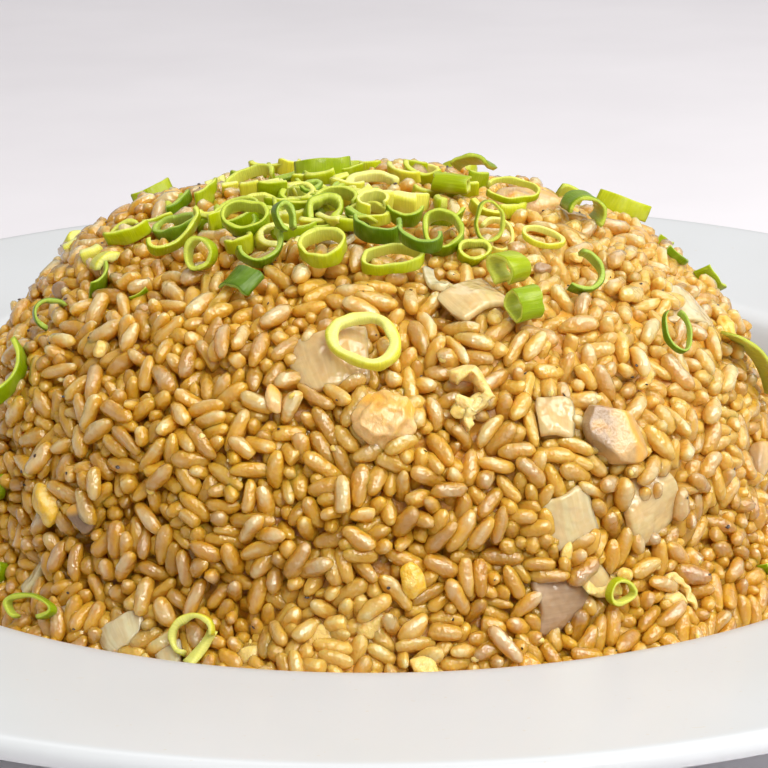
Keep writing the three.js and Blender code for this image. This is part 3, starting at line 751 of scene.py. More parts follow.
def strew_leaves(rng, count):
    """More small cuts that fill the pile on top, as rows like those of MORE_LEAVES."""
    rows = []
    for _ in range(count):
        bearing = PILE_BEARING[0] + rng.normal(0, PILE_BEARING[1])
        reach = abs(PILE_REACH[0] + rng.normal(0, PILE_REACH[1]))
        strip = rng.uniform() < 0.55
        ring = rng.uniform(5, 9) if strip else rng.uniform(2.2, 4.4)
        sweep = rng.uniform(20, 60) if strip else rng.choice([120, 200, 360])
        wall = rng.uniform(0.7, 1.5)
        tone = rng.uniform(0.1, 0.62) if rng.uniform() < 0.8 else 0.85
        lean, spin, turn = rng.uniform(0, 60), rng.uniform(-60, 60), rng.uniform(150, 210)
        long, squash, lift = rng.uniform(2.0, 4.2), rng.uniform(0.7, 1), rng.uniform(0.2, 2.4)
        rows.append((bearing, reach, ring, ring * squash, sweep, long, wall, turn, lean, spin, tone, lift))
    return rows


def put_lumps(rng, rows, prefix=None, rough=0.0, **form):
    """Every lump of a list at its place, like put_bands."""
    parts = []
    for k, row in enumerate(rows):
        level = LUMP_LEVEL if prefix else SMALL_LUMP_LEVEL
        points, quads, triangles, values = lump_parts(rng, row[2:5], row[5], rough, level, **form)
        place = {"node": node_name(prefix, k)} if prefix else {"lift": row[-2]}
        points = seated(points, row, row[6:9], **place)
        values["tone"] = np.tile([row[-1], rng.uniform(), k], (len(points), 1))
        parts.append((points, quads, triangles, values))
    return parts


def put_piece(parts, row, node):
    """One made piece at its node's place."""
    points, quads, triangles, values = parts
    points = seated(points, row, row[6:9], node)
    values["tone"] = np.tile([row[-1], 0.5, 0], (len(points), 1))
    return points, quads, triangles, values


def crumple(points, rng, amount, size):
    """Warps points by a smooth random field with bends about size mm long."""
    warped = points.copy()
    for k in range(3):
        for _ in range(CRUMPLE_WAVES):
            run = rng.normal(size=3)
            run *= 2 * math.pi / (size * rng.uniform(0.6, 2.2) * np.linalg.norm(run))
            wave = np.sin(points @ run + rng.uniform(0, 2 * math.pi))
            warped[:, k] += amount / math.sqrt(CRUMPLE_WAVES) * wave
    return warped


def soften_corners(points, long, rng):
    """Rounds a flat band's corners and makes its edges uneven."""
    wide = np.abs(points[:, 0]).max()
    a, b = points[:, 0] / wide, points[:, 2] / (long / 2)
    phase = rng.uniform(0, 2 * math.pi, 4)
    pull = rng.uniform(0.02, 0.13, 2)
    lean = rng.uniform(-0.12, 0.12, 2)
    points = points.copy()
    points[:, 0] *= 1 - pull[0] * np.abs(b) ** 3 + 0.03 * np.sin(2.3 * b + phase[0]) + lean[0] * b
    points[:, 2] *= 1 - pull[1] * np.abs(a) ** 3 + 0.03 * np.sin(2.6 * a + phase[1]) + lean[1] * a
    points[:, 1] += 0.35 * np.sin(1.9 * a + phase[2]) * np.sin(2.2 * b + phase[3])
    return points


# ---------- rice ----------

GRAINS = 7200
GRAIN_LENGTH = 6.9
GRAIN_WIDTH = 3.1
FLATTEN = 0.5  # how far the grains turn to lie along the heap
BALLS = 4  # balls along a grain while the grains settle
BALL = 1.12
LEAST_DEPTH, SKIN_DEPTH = 0.8, 5.4  # where the layer of whole grains begins and ends
FOOT_REACH, FOOT_CROWD = 96, 1.35  # from here to the foot the grains lie closer
LENGTHS, BROKEN_LENGTHS = (0.82, 1.14), (0.55, 0.75)  # as shares of the usual length
CEILING, CEILING_SPREAD = 0.1, 0.5  # mm over the heap that the grains' tops may reach
FLOOR_GAP = 0.3  # between grains and well
SETTLING_ROUNDS = 70
PAIR_GAP = 1.0  # balls within this gap count as near
PAIRS_EVERY = 7  # rounds for which a list of near balls serves
PUSH_APART, PRESS_IN, PRESS_OUT = 0.7, 0.8, 0.5  # shares of an overlap that one round takes away
LONGEST_MOVE = 0.8
STICK_OUT = 1.0  # how far a grain's end may rise over its middle's level
BROKEN = 0.1  # share of the grains that are short, and of those with a broken end
STRAY_GOLDEN = 0.035  # share of golden grains outside the golden patches
MAP_CELL = 1.2
MAP_BLUR = 0.9  # mm
MAP_CEILING = 1.5
HOLLOWS, HOLLOW_DEPTHS, HOLLOW_WIDTHS = 420, (0.8, 2.6), (1.0, 2.2)  # dips in the glaze
GLAZE_ROUGHNESS = 0.32
# Where the glaze rises between the grains, which the colours also take as the lit side for painted light
# and shade.
STICKY_LIT_BEARING, STICKY_LIT_REACH, STICKY_LIT_WIDTH, STICKY_RISE = -35, 52, 46, 1.2
GLAZE_DEPTH = 3.7  # how far the glaze between the grains stays under their tops
HIDDEN_DEPTH = 0.3  # grains that lie this far under it are left out
CREVICE_NEAR, CREVICE_FAR = 1.45, 3.2  # mm to the next grain's middle
CREVICE_BALLS = (-0.6, 0.0, 0.6)  # places along a grain from which that is measured
NEIGHBOURS, NO_NEIGHBOUR = 6, 3.0
RINGS, SIDES = 7, 8  # points of a grain
FLAT_SIDES = 3
CORE_ROWS, CORE_SIDES = 130, 340
# The kinds of grain: how much of the rice each makes up, how much light goes straight through it, and
# its scene-linear colours, dull, usual and bright.
RICE_KINDS = {
    "rice_cream": (0.24, 0.2, (0.91, 0.605, 0.21), (0.93, 0.65, 0.255), (0.95, 0.73, 0.36)),
    "rice_honey": (0.25, 0.28, (0.88, 0.54, 0.135), (0.91, 0.58, 0.17), (0.93, 0.65, 0.235)),
    "rice_golden": (0.14, 0.24, (0.89, 0.51, 0.04), (0.91, 0.55, 0.07), (0.93, 0.62, 0.125)),
    "rice_tan": (0.2, 0.34, (0.81, 0.47, 0.125), (0.85, 0.52, 0.155), (0.89, 0.59, 0.22)),
    "rice_clear": (0.17, 0.44, (0.80, 0.48, 0.16), (0.84, 0.53, 0.20), (0.89, 0.61, 0.28)),
}
CLUMP_SEED, CLUMP_WAVES, CLUMP_LENGTHS, CLUMP_RISE = 11, 12, (9, 24), 0.65


def near_pairs(points, reach):
    """Pairs of points closer than reach, through a grid of cells that size."""
    cells = np.floor((points - points.min(0)) / reach).astype(np.int64) + 1
    size = cells.max(0) + 2
    key = (cells[:, 0] * size[1] + cells[:, 1]) * size[2] + cells[:, 2]
    order = np.argsort(key, kind="stable")
    key = key[order]
    offsets = [offset for offset in product((-1, 0, 1), repeat=3) if offset >= (0, 0, 0)]
    found = []
    for offset in offsets:
        shift = (offset[0] * size[1] + offset[1]) * size[2] + offset[2]
        start = np.searchsorted(key, key + shift, "left")
        end = np.searchsorted(key, key + shift, "right")
        if shift == 0:
            start = np.arange(len(key)) + 1
        for k in range(max(0, int((end - start).max()))):
            there = start + k
            ok = np.nonzero(there < end)[0]
            found.append(np.stack([order[ok], order[there[ok]]], 1))
    pairs = np.concatenate(found)
    close = ((points[pairs[:, 0]] - points[pairs[:, 1]]) ** 2).sum(1) < reach**2
    return pairs[close]


def clumps_at(points):
    """How far clumps of stuck grains stand out of the heap, or hollows sink in."""
    rng = np.random.default_rng(CLUMP_SEED)
    rise = np.zeros(len(points))
    for _ in range(CLUMP_WAVES):
        run = rng.normal(size=3)
        run *= 2 * math.pi / (rng.uniform(*CLUMP_LENGTHS) * np.linalg.norm(run))
        rise += np.sin(points @ run + rng.uniform(0, 2 * math.pi))
    return CLUMP_RISE * rise / math.sqrt(CLUMP_WAVES / 2)


def scatter_grains(rng):
    """Places and directions of the grains before they settle."""
    reach = rng.uniform(0, RUN[-1], GRAINS * 6)
    crowd = np.interp(reach, RUN, RADIUS) * np.where(reach > FOOT_REACH, FOOT_CROWD, 1.0)
    keep = rng.uniform(size=len(reach)) * RADIUS.max() * FOOT_CROWD < crowd
    reach = reach[keep][:GRAINS]
    bearing = rng.uniform(-180, 180, len(reach))
    point, outward = dome(bearing, reach)
    depth = rng.uniform(LEAST_DEPTH, SKIN_DEPTH, len(reach))
    centre = point + outward * (mounds_at(point) + clumps_at(point) - depth)[:, None]
    axis = rng.normal(size=(len(reach), 3))
    axis -= outward * (axis * outward).sum(1, keepdims=True) * FLATTEN
    return centre, axis / np.linalg.norm(axis, axis=1, keepdims=True)


def pushes_apart(balls, size, pairs, owner):
    """How far each ball is pushed by those that it overlaps. Obstacles, whose owner is -1, don't give
    way."""
    a, b = pairs.T
    apart = balls[a] - balls[b]
    distance = np.linalg.norm(apart, axis=1)
    overlap = size[a] + size[b] - distance
    hit = overlap > 0
    a, b, apart = a[hit], b[hit], apart[hit] / np.maximum(distance[hit], 1e-6)[:, None]
    share = np.where((owner[a] < 0) | (owner[b] < 0), 1.0, 0.5)
    push = apart * (overlap[hit] * share * PUSH_APART)[:, None]
    away, back = ([np.bincount(ends, push[:, k], len(balls)) for k in range(3)] for ends in (a, b))
    return np.stack(away, 1) - np.stack(back, 1)


def keep_in_skin(move, balls, top):
    """Adds what brings the balls back under the top, over the skin's bottom and over the well's floor."""
    height, outward, _ = over_heap(balls)
    height = height - clumps_at(balls)
    move -= outward * np.maximum(height - top, 0)[:, None] * PRESS_IN
    move += outward * np.maximum(-SKIN_DEPTH - height, 0)[:, None] * PRESS_OUT
    move[:, 2] += np.maximum(FLOOR_HEIGHT + FLOOR_GAP + BALL - balls[:, 2], 0)


def settle(rng, obstacles):
    """Places, directions and half lengths of the grains, once each, as a row of balls, has been pushed
    clear of the others and of the obstacles."""
    centre, axis = scatter_grains(rng)
    count = len(centre)
    half = GRAIN_LENGTH / 2 * rng.uniform(*LENGTHS, count)
    half *= np.where(rng.uniform(size=count) < BROKEN, rng.uniform(*BROKEN_LENGTHS, count), 1)
    ceiling = rng.normal(CEILING, CEILING_SPREAD, count).clip(-1.0, 1.0)
    spots = np.linspace(-1, 1, BALLS)
    arm = (half - BALL)[:, None] * spots
    top = (ceiling[:, None] - BALL + STICK_OUT * np.abs(spots)).ravel()
    fixed, fixed_size = obstacles[:, :3], obstacles[:, 3]
    size = np.concatenate([np.full(count * BALLS, BALL), fixed_size])
    owner = np.concatenate([np.repeat(np.arange(count), BALLS), np.full(len(fixed), -1)])
    for turn in range(SETTLING_ROUNDS):
        balls = (centre[:, None] + axis[:, None] * arm[..., None]).reshape(-1, 3)
        everything = np.concatenate([balls, fixed])
        if turn % PAIRS_EVERY == 0:
            pairs = near_pairs(everything, 2 * BALL + PAIR_GAP)
            one, two = owner[pairs[:, 0]], owner[pairs[:, 1]]
            pairs = pairs[one != two]
        move = pushes_apart(everything, size, pairs, owner)[: len(balls)]
        keep_in_skin(move, balls, top)
        move = move.reshape(count, BALLS, 3)
        size_of_move = np.linalg.norm(move, axis=2, keepdims=True)
        move *= np.minimum(1, LONGEST_MOVE / np.maximum(size_of_move, 1e-6))
        centre = centre + move.mean(1)
        axis = axis + (move * arm[..., None]).sum(1) / (arm**2).sum(1)[:, None]
        axis /= np.linalg.norm(axis, axis=1, keepdims=True)
    return centre, axis, half


def grain_shapes(rng, centre, axis, half):
    """Points of every grain, as rings round its own axis, with blunt, pointed and broken ends."""
    count = len(centre)

    def pick(low, high):
        return rng.uniform(low, high, (count, 1, 1))

    t = -np.cos(np.linspace(0, math.pi, RINGS + 2))[None, :, None]
    turn = np.linspace(0, 2 * math.pi, SIDES, endpoint=False)[None, None, :]
    # the outline along the grain, with one end broken off some of them
    power = np.where(t < 0, pick(2.4, 3.8), pick(2.2, 3.6))
    cut = np.where(rng.uniform(size=(count, 1, 1)) < BROKEN, pick(0.3, 0.8), 2.0)
    bare = (1 - np.minimum(np.abs(t), 1) ** power) ** pick(0.46, 0.56)
    bare_at_cut = np.maximum(1 - np.minimum(cut, 1) ** power, 0) ** 0.55
    capped = bare_at_cut * np.sqrt(np.clip((1 - t) / np.maximum(1 - cut, 1e-3), 0, 1))
    radius = np.where(t > cut, capped, bare)
    length = half[:, None, None] * np.where(t > cut, cut + 0.18 * (t - cut), t)
    wide = GRAIN_WIDTH / 2 * pick(0.88, 1.12)
    # waves, dents, flat sides and a groove round it
    dent = 1 + 0.07 * np.sin(2 * turn + pick(0, 6.3) + 2.6 * t)
    dent = dent + 0.06 * np.sin(3 * turn + pick(0, 6.3) - 4.2 * t)
    dent = dent + pick(0, 0.08) * np.sin(pick(4, 7) * t + pick(0, 6.3))
    for _ in range(FLAT_SIDES):
        facing = np.cos(turn - pick(0, 6.3) - pick(-0.4, 0.4) * t)
        dent = np.minimum(dent, pick(0.82, 1.05) / np.maximum(facing, 0.3))
    groove = 1 - pick(0.0, 0.22) * np.exp(-(((turn - pick(0.5, 5.8)) / 0.5) ** 2)) * (1 - t**2)
    girth = radius * wide * dent * groove * (1 + pick(-0.12, 0.12) * t)
    # bent, and sheared at its ends
    bow = pick(-0.5, 0.55) * (1 - t**2) + pick(-0.25, 0.25) * t
    y = girth * np.cos(turn)
    z = girth * np.sin(turn) * pick(0.82, 1.0) + bow
    x = length + pick(-0.35, 0.35) * y * np.abs(t)
    local = np.stack([x, y, z], -1)
    side = np.cross(axis, rng.normal(size=(count, 3)))
    side /= np.linalg.norm(side, axis=1, keepdims=True)
    axes = np.stack([axis, side, np.cross(axis, side)], 1)
    return np.einsum("grsk,gkj->grsj", local, axes) + centre[:, None, None]


def grain_faces(count):
    """Quads and end triangles of that many grains, each a point, RINGS rings and a point."""
    quads, triangles = ring_faces(RINGS, SIDES, (0, RINGS * SIDES + 1), start=1, inward=True)
    start = (np.arange(count) * (RINGS * SIDES + 2))[:, None, None]
    return (quads[None] + start).reshape(-1, 4), (triangles[None] + start).reshape(-1, 3)


# Patches of egg-coated or fried grains: bearing, reach, width in mm, and how golden.
GOLDEN = [
    (-93, 108, 13, 1.0),
    (-84, 111, 9, 0.9),
    (-88, 71, 8, 0.7),
    (-118, 111, 9, 0.75),
    (-76, 69, 6, 0.5),
    (-104, 68, 5, 0.3),
    (60, 90, 12, 0.6),
    (150, 80, 10, 0.5),
]


def golden_at(points):
    amount = np.zeros(points.shape[:-1])
    for bearing, reach, width, strength in GOLDEN:
        spot = dome(bearing, reach)[0]
        amount = np.maximum(amount, strength * np.exp(-((points - spot) ** 2).sum(-1) / width**2))
    return amount


def crevice_at(points, owner, centre, axis, half):
    """From 0 to 1, how near each point of a grain is to another grain."""
    spots = np.array(CREVICE_BALLS)
    balls = (centre[:, None] + axis[:, None] * (half[:, None] * spots)[..., None]).reshape(-1, 3)
    ball_owner = np.repeat(np.arange(len(centre)), len(spots))
    tree = KDTree(len(balls))
    for k, ball in enumerate(balls):
        tree.insert(ball, k)
    tree.balance()
    gap = np.empty(len(points))
    for k, (point, own) in enumerate(zip(points.tolist(), owner.tolist())):
        near = tree.find_n(point, NEIGHBOURS)
        gap[k] = next((far for _, ball, far in near if ball_owner[ball] != own), NO_NEIGHBOUR)
    return np.clip((CREVICE_FAR - gap) / (CREVICE_FAR - CREVICE_NEAR), 0, 1)


def top_map(points):
    """The heap's top spread flat, reach and bearing as polar coordinates: how high the grains stand in
    each cell, smoothed."""
    height, _, reach = over_heap(points)
    turn = turn_at(points)
    half = int(RUN[-1] / MAP_CELL) + 3
    across = np.rint(reach * np.cos(turn) / MAP_CELL).astype(int) + half
    up = np.rint(reach * np.sin(turn) / MAP_CELL).astype(int) + half
    tops = np.full((2 * half + 1, 2 * half + 1), -SKIN_DEPTH)
    np.maximum.at(tops, (across, up), height)
    spread = tops.copy()
    for shift in ((0, 1), (0, -1), (1, 0), (-1, 0)):
        spread = np.maximum(spread, np.roll(tops, shift, (0, 1)))
    wave = np.fft.fftfreq(len(tops), MAP_CELL)
    blur = np.exp(-2 * (math.pi * MAP_BLUR) ** 2 * (wave[:, None] ** 2 + wave[None, :] ** 2))
    return np.fft.ifft2(np.fft.fft2(spread.clip(-SKIN_DEPTH, MAP_CEILING)) * blur).real


def read_map(level, reach, turn):
    """The map's value at these places, mixed from the four cells round each."""
    half = (len(level) - 1) // 2
    x, y = reach * np.cos(turn) / MAP_CELL + half, reach * np.sin(turn) / MAP_CELL + half
    left, low = np.floor(x).astype(int).clip(0, 2 * half - 1), np.floor(y).astype(int).clip(0, 2 * half - 1)
    right_share, high_share = x - left, y - low
    lower = level[left, low] * (1 - right_share) + level[left + 1, low] * right_share
    upper = level[left, low + 1] * (1 - right_share) + level[left + 1, low + 1] * right_share
    return lower * (1 - high_share) + upper * high_share


def sticky_and_lit_share(points):
    """From 0 to 1, how stuck the grains are, which raises the glaze between them, and also the lit side,
    where the colours put painted light, with painted shade away from it: most on the top and the right
    of the heap, and in the golden patches."""
    spot = dome(STICKY_LIT_BEARING, STICKY_LIT_REACH)[0]
    return np.maximum(np.exp(-((points - spot) ** 2).sum(-1) / STICKY_LIT_WIDTH**2), golden_at(points))


def make_rice(rng, obstacles):
    """The grains as one piece for each kind, with per-grain values for the material, and the map of
    how high they stand. Grains that lie wholly under the glaze between the others are left out."""
    centre, axis, half = settle(rng, obstacles)
    shapes = grain_shapes(rng, centre, axis, half)
    bodies = np.concatenate(
        [shapes[:, :1].mean(2), shapes[:, 1:-1].reshape(len(centre), -1, 3), shapes[:, -1:].mean(2)], 1
    )
    tops = top_map(bodies.reshape(-1, 3))
    height, _, reach = over_heap(bodies.reshape(-1, 3))
    turn = turn_at(bodies).ravel()
    clear = (height - read_map(tops, reach, turn) + GLAZE_DEPTH).reshape(bodies.shape[:2]).max(1)
    shown = clear > -HIDDEN_DEPTH
    centre, axis, half, bodies = centre[shown], axis[shown], half[shown], bodies[shown]
    count = len(centre)
    shares = np.array([share for share, *_ in RICE_KINDS.values()])
    kind = rng.choice(len(RICE_KINDS), count, p=shares / sum(shares))
    golden = golden_at(centre) + np.where(rng.uniform(size=count) < STRAY_GOLDEN, 0.8, 0)
    deep = -over_heap(centre)[0] / SKIN_DEPTH
    per_grain = np.stack([rng.uniform(size=count), golden.clip(0, 1), deep], 1)
    owner = np.repeat(np.arange(count), bodies.shape[1])
    crevice = crevice_at(bodies.reshape(-1, 3), owner, centre, axis, half).reshape(count, -1)
    pieces = []
    for k, name in enumerate(RICE_KINDS):
        own = kind == k
        body = bodies[own]
        grain = np.repeat(per_grain[own][:, None], body.shape[1], 1)
        stuck_and_lit = sticky_and_lit_share(body)[..., None]
        seeds = np.repeat(rng.uniform(0, 50, (len(body), 1, 1)), body.shape[1], 1)
        spread = np.concatenate([stuck_and_lit, seeds, crevice[own][..., None]], 2)
        values = {"grain": grain.reshape(-1, 3), "spread": spread.reshape(-1, 3)}
        pieces.append(make_mesh(name, body.reshape(-1, 3), *grain_faces(len(body)), values))
    return pieces, bodies.reshape(-1, 3), tops


# Scene-linear colours of the rice.
# painted light tone for the open middles of the grains
PAINTED_LIT_CENTRE = (0.97, 0.745, 0.39)
GOLDEN_TONE = (1.0, 0.70, 0.25)
SAUCE_SPOT = (0.42, 0.19, 0.05)
LEFT_PAINTED_SHADE = (0.95, 0.89, 0.87)  # painted shade that darkens the grains on the left side
RIGHT_PAINTED_LIGHT = (1.03, 1.02, 1.0)  # and painted light that brightens them on the top and the right
LOW_PAINTED_SHADE = (0.76, 0.68, 0.88)  # painted shade, darker and cooler, low on the heap away from the lit side
LOW_SHADE_FULL_BELOW, LOW_SHADE_NONE_ABOVE = 20, 46  # heights in mm under which that painted shade is full and over which there is none
# where grains nearly touch: sauce colour with painted crevice shade, and a lighter copy for the lit side
CREVICE_SAUCE_AND_SHADE = (0.83, 0.42, 0.018)
LIT_CREVICE_SAUCE_AND_SHADE = (0.94, 0.54, 0.10)
GLAZE_TONE = (0.52, 0.22, 0.008)
# painted shade for grains deep in the heap and for patches of the glaze
DEEP_PAINTED_SHADE = (0.22, 0.078, 0.003)
# a lighter glaze for the lit top and right: painted light
PAINTED_LIGHT_GLAZE = (0.80, 0.42, 0.05)


def rice_paint(name):
    _, clearness, dull, usual, bright = RICE_KINDS[name]
    paint = Paint(
        name,
        Roughness=0.24,
        IOR=1.45,
        Specular_IOR_Level=0.6,
        Specular_Tint=(1.0, 0.88, 0.66, 1.0),
        Transmission_Weight=clearness,
        Subsurface_Weight=0.9,
        Subsurface_Radius=(1.0, 0.92, 0.75),
        Subsurface_Scale=0.0022,
        Coat_Weight=1.0,
        Coat_Roughness=0.08,
        Coat_IOR=1.95,
    )
    lot, golden, deep = paint.values("grain")
    tint = paint.ramp(lot, (0.0, dull), (0.5, usual), (1.0, bright))
    cloud = paint.noise(2.4, detail=3)
    tint = paint.mix(paint.step(cloud, 0.42, 0.72), tint, bright)
    stain = paint.step(paint.noise(3.1, paint.place(), detail=4, rough=0.7), 0.60, 0.78)
    tint = paint.cover(tint, SAUCE_SPOT, stain, 0.55)
    stuck_and_lit, _, gap = paint.values("spread")
    # Painted shade on the left and lower side and painted light on the top and right, by the lit-side
    # share.
    tint = paint.times(tint, paint.mix(stuck_and_lit, LEFT_PAINTED_SHADE, RIGHT_PAINTED_LIGHT))
    # Painted shade on the lower heap, away from the lit top and right.
    low_shade = paint.step(paint.height(), LOW_SHADE_NONE_ABOVE, LOW_SHADE_FULL_BELOW)
    low_shade = paint.math("MULTIPLY", low_shade, paint.step(stuck_and_lit, 0.8, 0.2))
    tint = paint.mix(low_shade, tint, paint.times(tint, LOW_PAINTED_SHADE))
    tint = paint.cover(tint, GOLDEN_TONE, golden, 0.85)
    # Darker, more saturated edges where grains nearly touch: sauce colour with painted crevice shade,
    # lighter on the lit side.
    crevice = paint.step(gap, 0.0, 0.85)
    edge = paint.mix(stuck_and_lit, CREVICE_SAUCE_AND_SHADE, LIT_CREVICE_SAUCE_AND_SHADE)
    # Painted shade on the grains that lie deep under the heap's surface.
    tint = paint.cover(tint, DEEP_PAINTED_SHADE, paint.step(deep, 0.35, 0.85), 0.7)
    # Painted light: the open middles of the grains, away from their neighbours, come out lighter.
    tint = paint.cover(tint, PAINTED_LIT_CENTRE, paint.step(crevice, 0.42, 0.0), 0.45)
    tint = paint.cover(tint, edge, crevice, 0.95)
    wet = paint.math("SUBTRACT", 1.0, paint.math("MULTIPLY", crevice, 0.6))
    crease = paint.bump(paint.noise(1.7, detail=2), 0.8, 0.6)
    wrinkles = paint.bump(paint.noise(0.85, detail=3, rough=0.6), 0.45, 0.6, crease)
    return paint.set(Base_Color=tint, Normal=crease, Coat_Normal=wrinkles, Coat_Weight=wet).material


def make_core(rng, tops):
    """The inside of the heap with the glaze that sticks its grains together, seen between the grains."""
    rows, sides = CORE_ROWS, CORE_SIDES
    run = np.linspace(0, RUN[-1], rows + 1)[1:]
    turn = np.linspace(-math.pi, math.pi, sides, endpoint=False)
    turn, run = (grid.ravel() for grid in np.meshgrid(turn, run))
    point, outward = dome(np.degrees(turn), run)
    stuck_and_lit = sticky_and_lit_share(point)
    level = read_map(tops, run, turn) - GLAZE_DEPTH + STICKY_RISE * stuck_and_lit
    for _ in range(HOLLOWS):
        bearing, reach = rng.uniform(-180, 180), math.sqrt(rng.uniform()) * RUN[-1]
        away = ((point - dome(bearing, reach)[0]) ** 2).sum(1)
        level = level - rng.uniform(*HOLLOW_DEPTHS) * np.exp(-away / rng.uniform(*HOLLOW_WIDTHS) ** 2)
    rough = rng.uniform(-GLAZE_ROUGHNESS, GLAZE_ROUGHNESS, len(point))
    points = point + outward * (mounds_at(point) + level + rough)[:, None]
    points[:, 2] = np.maximum(points[:, 2], HEAP_FOOT)
    peak = HEAP_TOP + tops[len(tops) // 2, len(tops) // 2] - GLAZE_DEPTH
    ends = np.array([[HEAP_X, 0, peak], [HEAP_X, 0, HEAP_FOOT]])
    points = np.concatenate([points, ends])
    stuck_and_lit = np.tile(np.concatenate([stuck_and_lit, [0, 0]])[:, None], (1, 3))
    return make_mesh("rice_core", points, *ring_faces(rows, sides), {"stuck_and_lit": stuck_and_lit})


def core_paint():
    paint = Paint(
        "rice_core",
        Roughness=0.3,
        Coat_Weight=0.15,
        Coat_Roughness=0.15,
        Subsurface_Weight=0.5,
        Subsurface_Radius=(1.0, 0.85, 0.5),
        Subsurface_Scale=0.0015,
    )
    cloud = paint.noise(3.0, detail=4)
    # The glaze, with random patches of the deep painted shade.
    tint = paint.ramp(cloud, (0.35, DEEP_PAINTED_SHADE), (0.65, GLAZE_TONE))
    # Painted light: the glaze is lighter on the top and the right of the heap.
    tint = paint.mix(paint.values("stuck_and_lit")[0], tint, PAINTED_LIGHT_GLAZE)
    relief = paint.bump(paint.noise(1.1, detail=3), 0.5, 0.8)
    return paint.set(Base_Color=tint, Normal=relief, Coat_Normal=relief).material


# ---------- finishes of the toppings ----------


def leaf_paint():
    """Spring onion: green outside, paler inside, whitish where it is cut, finely striped."""
    paint = Paint(
        "spring_onion",
        Roughness=0.3,
        IOR=1.4,
        Subsurface_Weight=0.35,
        Subsurface_Radius=(0.9, 1.0, 0.1),
        Subsurface_Scale=0.0012,
        Specular_IOR_Level=0.3,
        Coat_Weight=0.18,
        Coat_Roughness=0.12,
        Coat_Tint=(0.95, 1.0, 0.8, 1.0),
    )
    inwards, around, lengthwise = paint.values("skin")
    green, lot, _ = paint.values("tone")
    outer = paint.ramp(
        green,
        (0.0, (0.84, 0.78, 0.16)),
        (0.18, (0.72, 0.68, 0.045)),
        (0.42, (0.44, 0.50, 0.002)),
        (0.65, (0.20, 0.32, 0.001)),
        (1.0, (0.085, 0.165, 0.001)),
    )
    inner = paint.ramp(
        green,
        (0.0, (0.88, 0.84, 0.34)),
        (0.3, (0.76, 0.76, 0.16)),
        (0.65, (0.52, 0.60, 0.07)),
        (1.0, (0.30, 0.44, 0.08)),
    )
    stripe = paint.stripes(around, lengthwise, lot, fine=3.2, drawn_out=0.25, detail=2)
    shade = paint.mix(paint.step(stripe, 0.35, 0.7), (0.93, 0.95, 0.88), (1.04, 1.03, 1.0))
    face = paint.mix(paint.step(inwards, 0.10, 0.30), outer, inner)
    face = paint.times(face, shade)
    blotch = paint.step(paint.noise(3.5, detail=2), 0.45, 0.75)
    face = paint.cover(face, inner, blotch, 0.3)
    veins = paint.bump(stripe, 0.25, 0.5)
    skin = paint.bump(paint.noise(0.6, detail=2), 0.08, 0.4, veins)
    return paint.set(Base_Color=face, Normal=skin).material


def onion_paint():
    """Cooked onion: clear, pale to amber, with faint veins and a few stained spots."""
    paint = Paint(
        "onion",
        Roughness=0.2,
        IOR=1.42,
        Transmission_Weight=0.3,
        Subsurface_Weight=0.9,
        Subsurface_Radius=(1.0, 0.96, 0.9),
        Subsurface_Scale=0.0015,
        Coat_Weight=0.6,
        Coat_Roughness=0.12,
        Coat_IOR=1.6,
    )
    _, around, lengthwise = paint.values("skin")
    tone, lot, _ = paint.values("tone")
    body = paint.ramp(
        tone,
        (0.0, (0.66, 0.46, 0.28)),
        (0.3, (0.95, 0.68, 0.33)),
        (0.6, (0.96, 0.72, 0.36)),
        (1.0, (0.98, 0.81, 0.50)),
    )
    stripe = paint.stripes(around, lengthwise, lot, fine=1.1, drawn_out=0.1, detail=3)
    shade = paint.mix(paint.step(stripe, 0.38, 0.64), (0.92, 0.90, 0.86), (1.04, 1.04, 1.05))
    tint = paint.times(body, shade)
    amber = paint.ramp(
        tone,
        (0.0, (0.50, 0.31, 0.17)),
        (0.2, (0.90, 0.56, 0.18)),
        (1.0, (0.93, 0.66, 0.28)),
    )
    stain = paint.step(paint.noise(3.4, detail=3), 0.46, 0.72)
    tint = paint.cover(tint, amber, stain, 0.45)
    relief = paint.bump(stripe, 0.12, 0.25)
    skin = paint.bump(paint.noise(2.0, detail=1), 1.0, 0.5, relief)
    return paint.set(Base_Color=tint, Normal=skin, Coat_Normal=skin).material


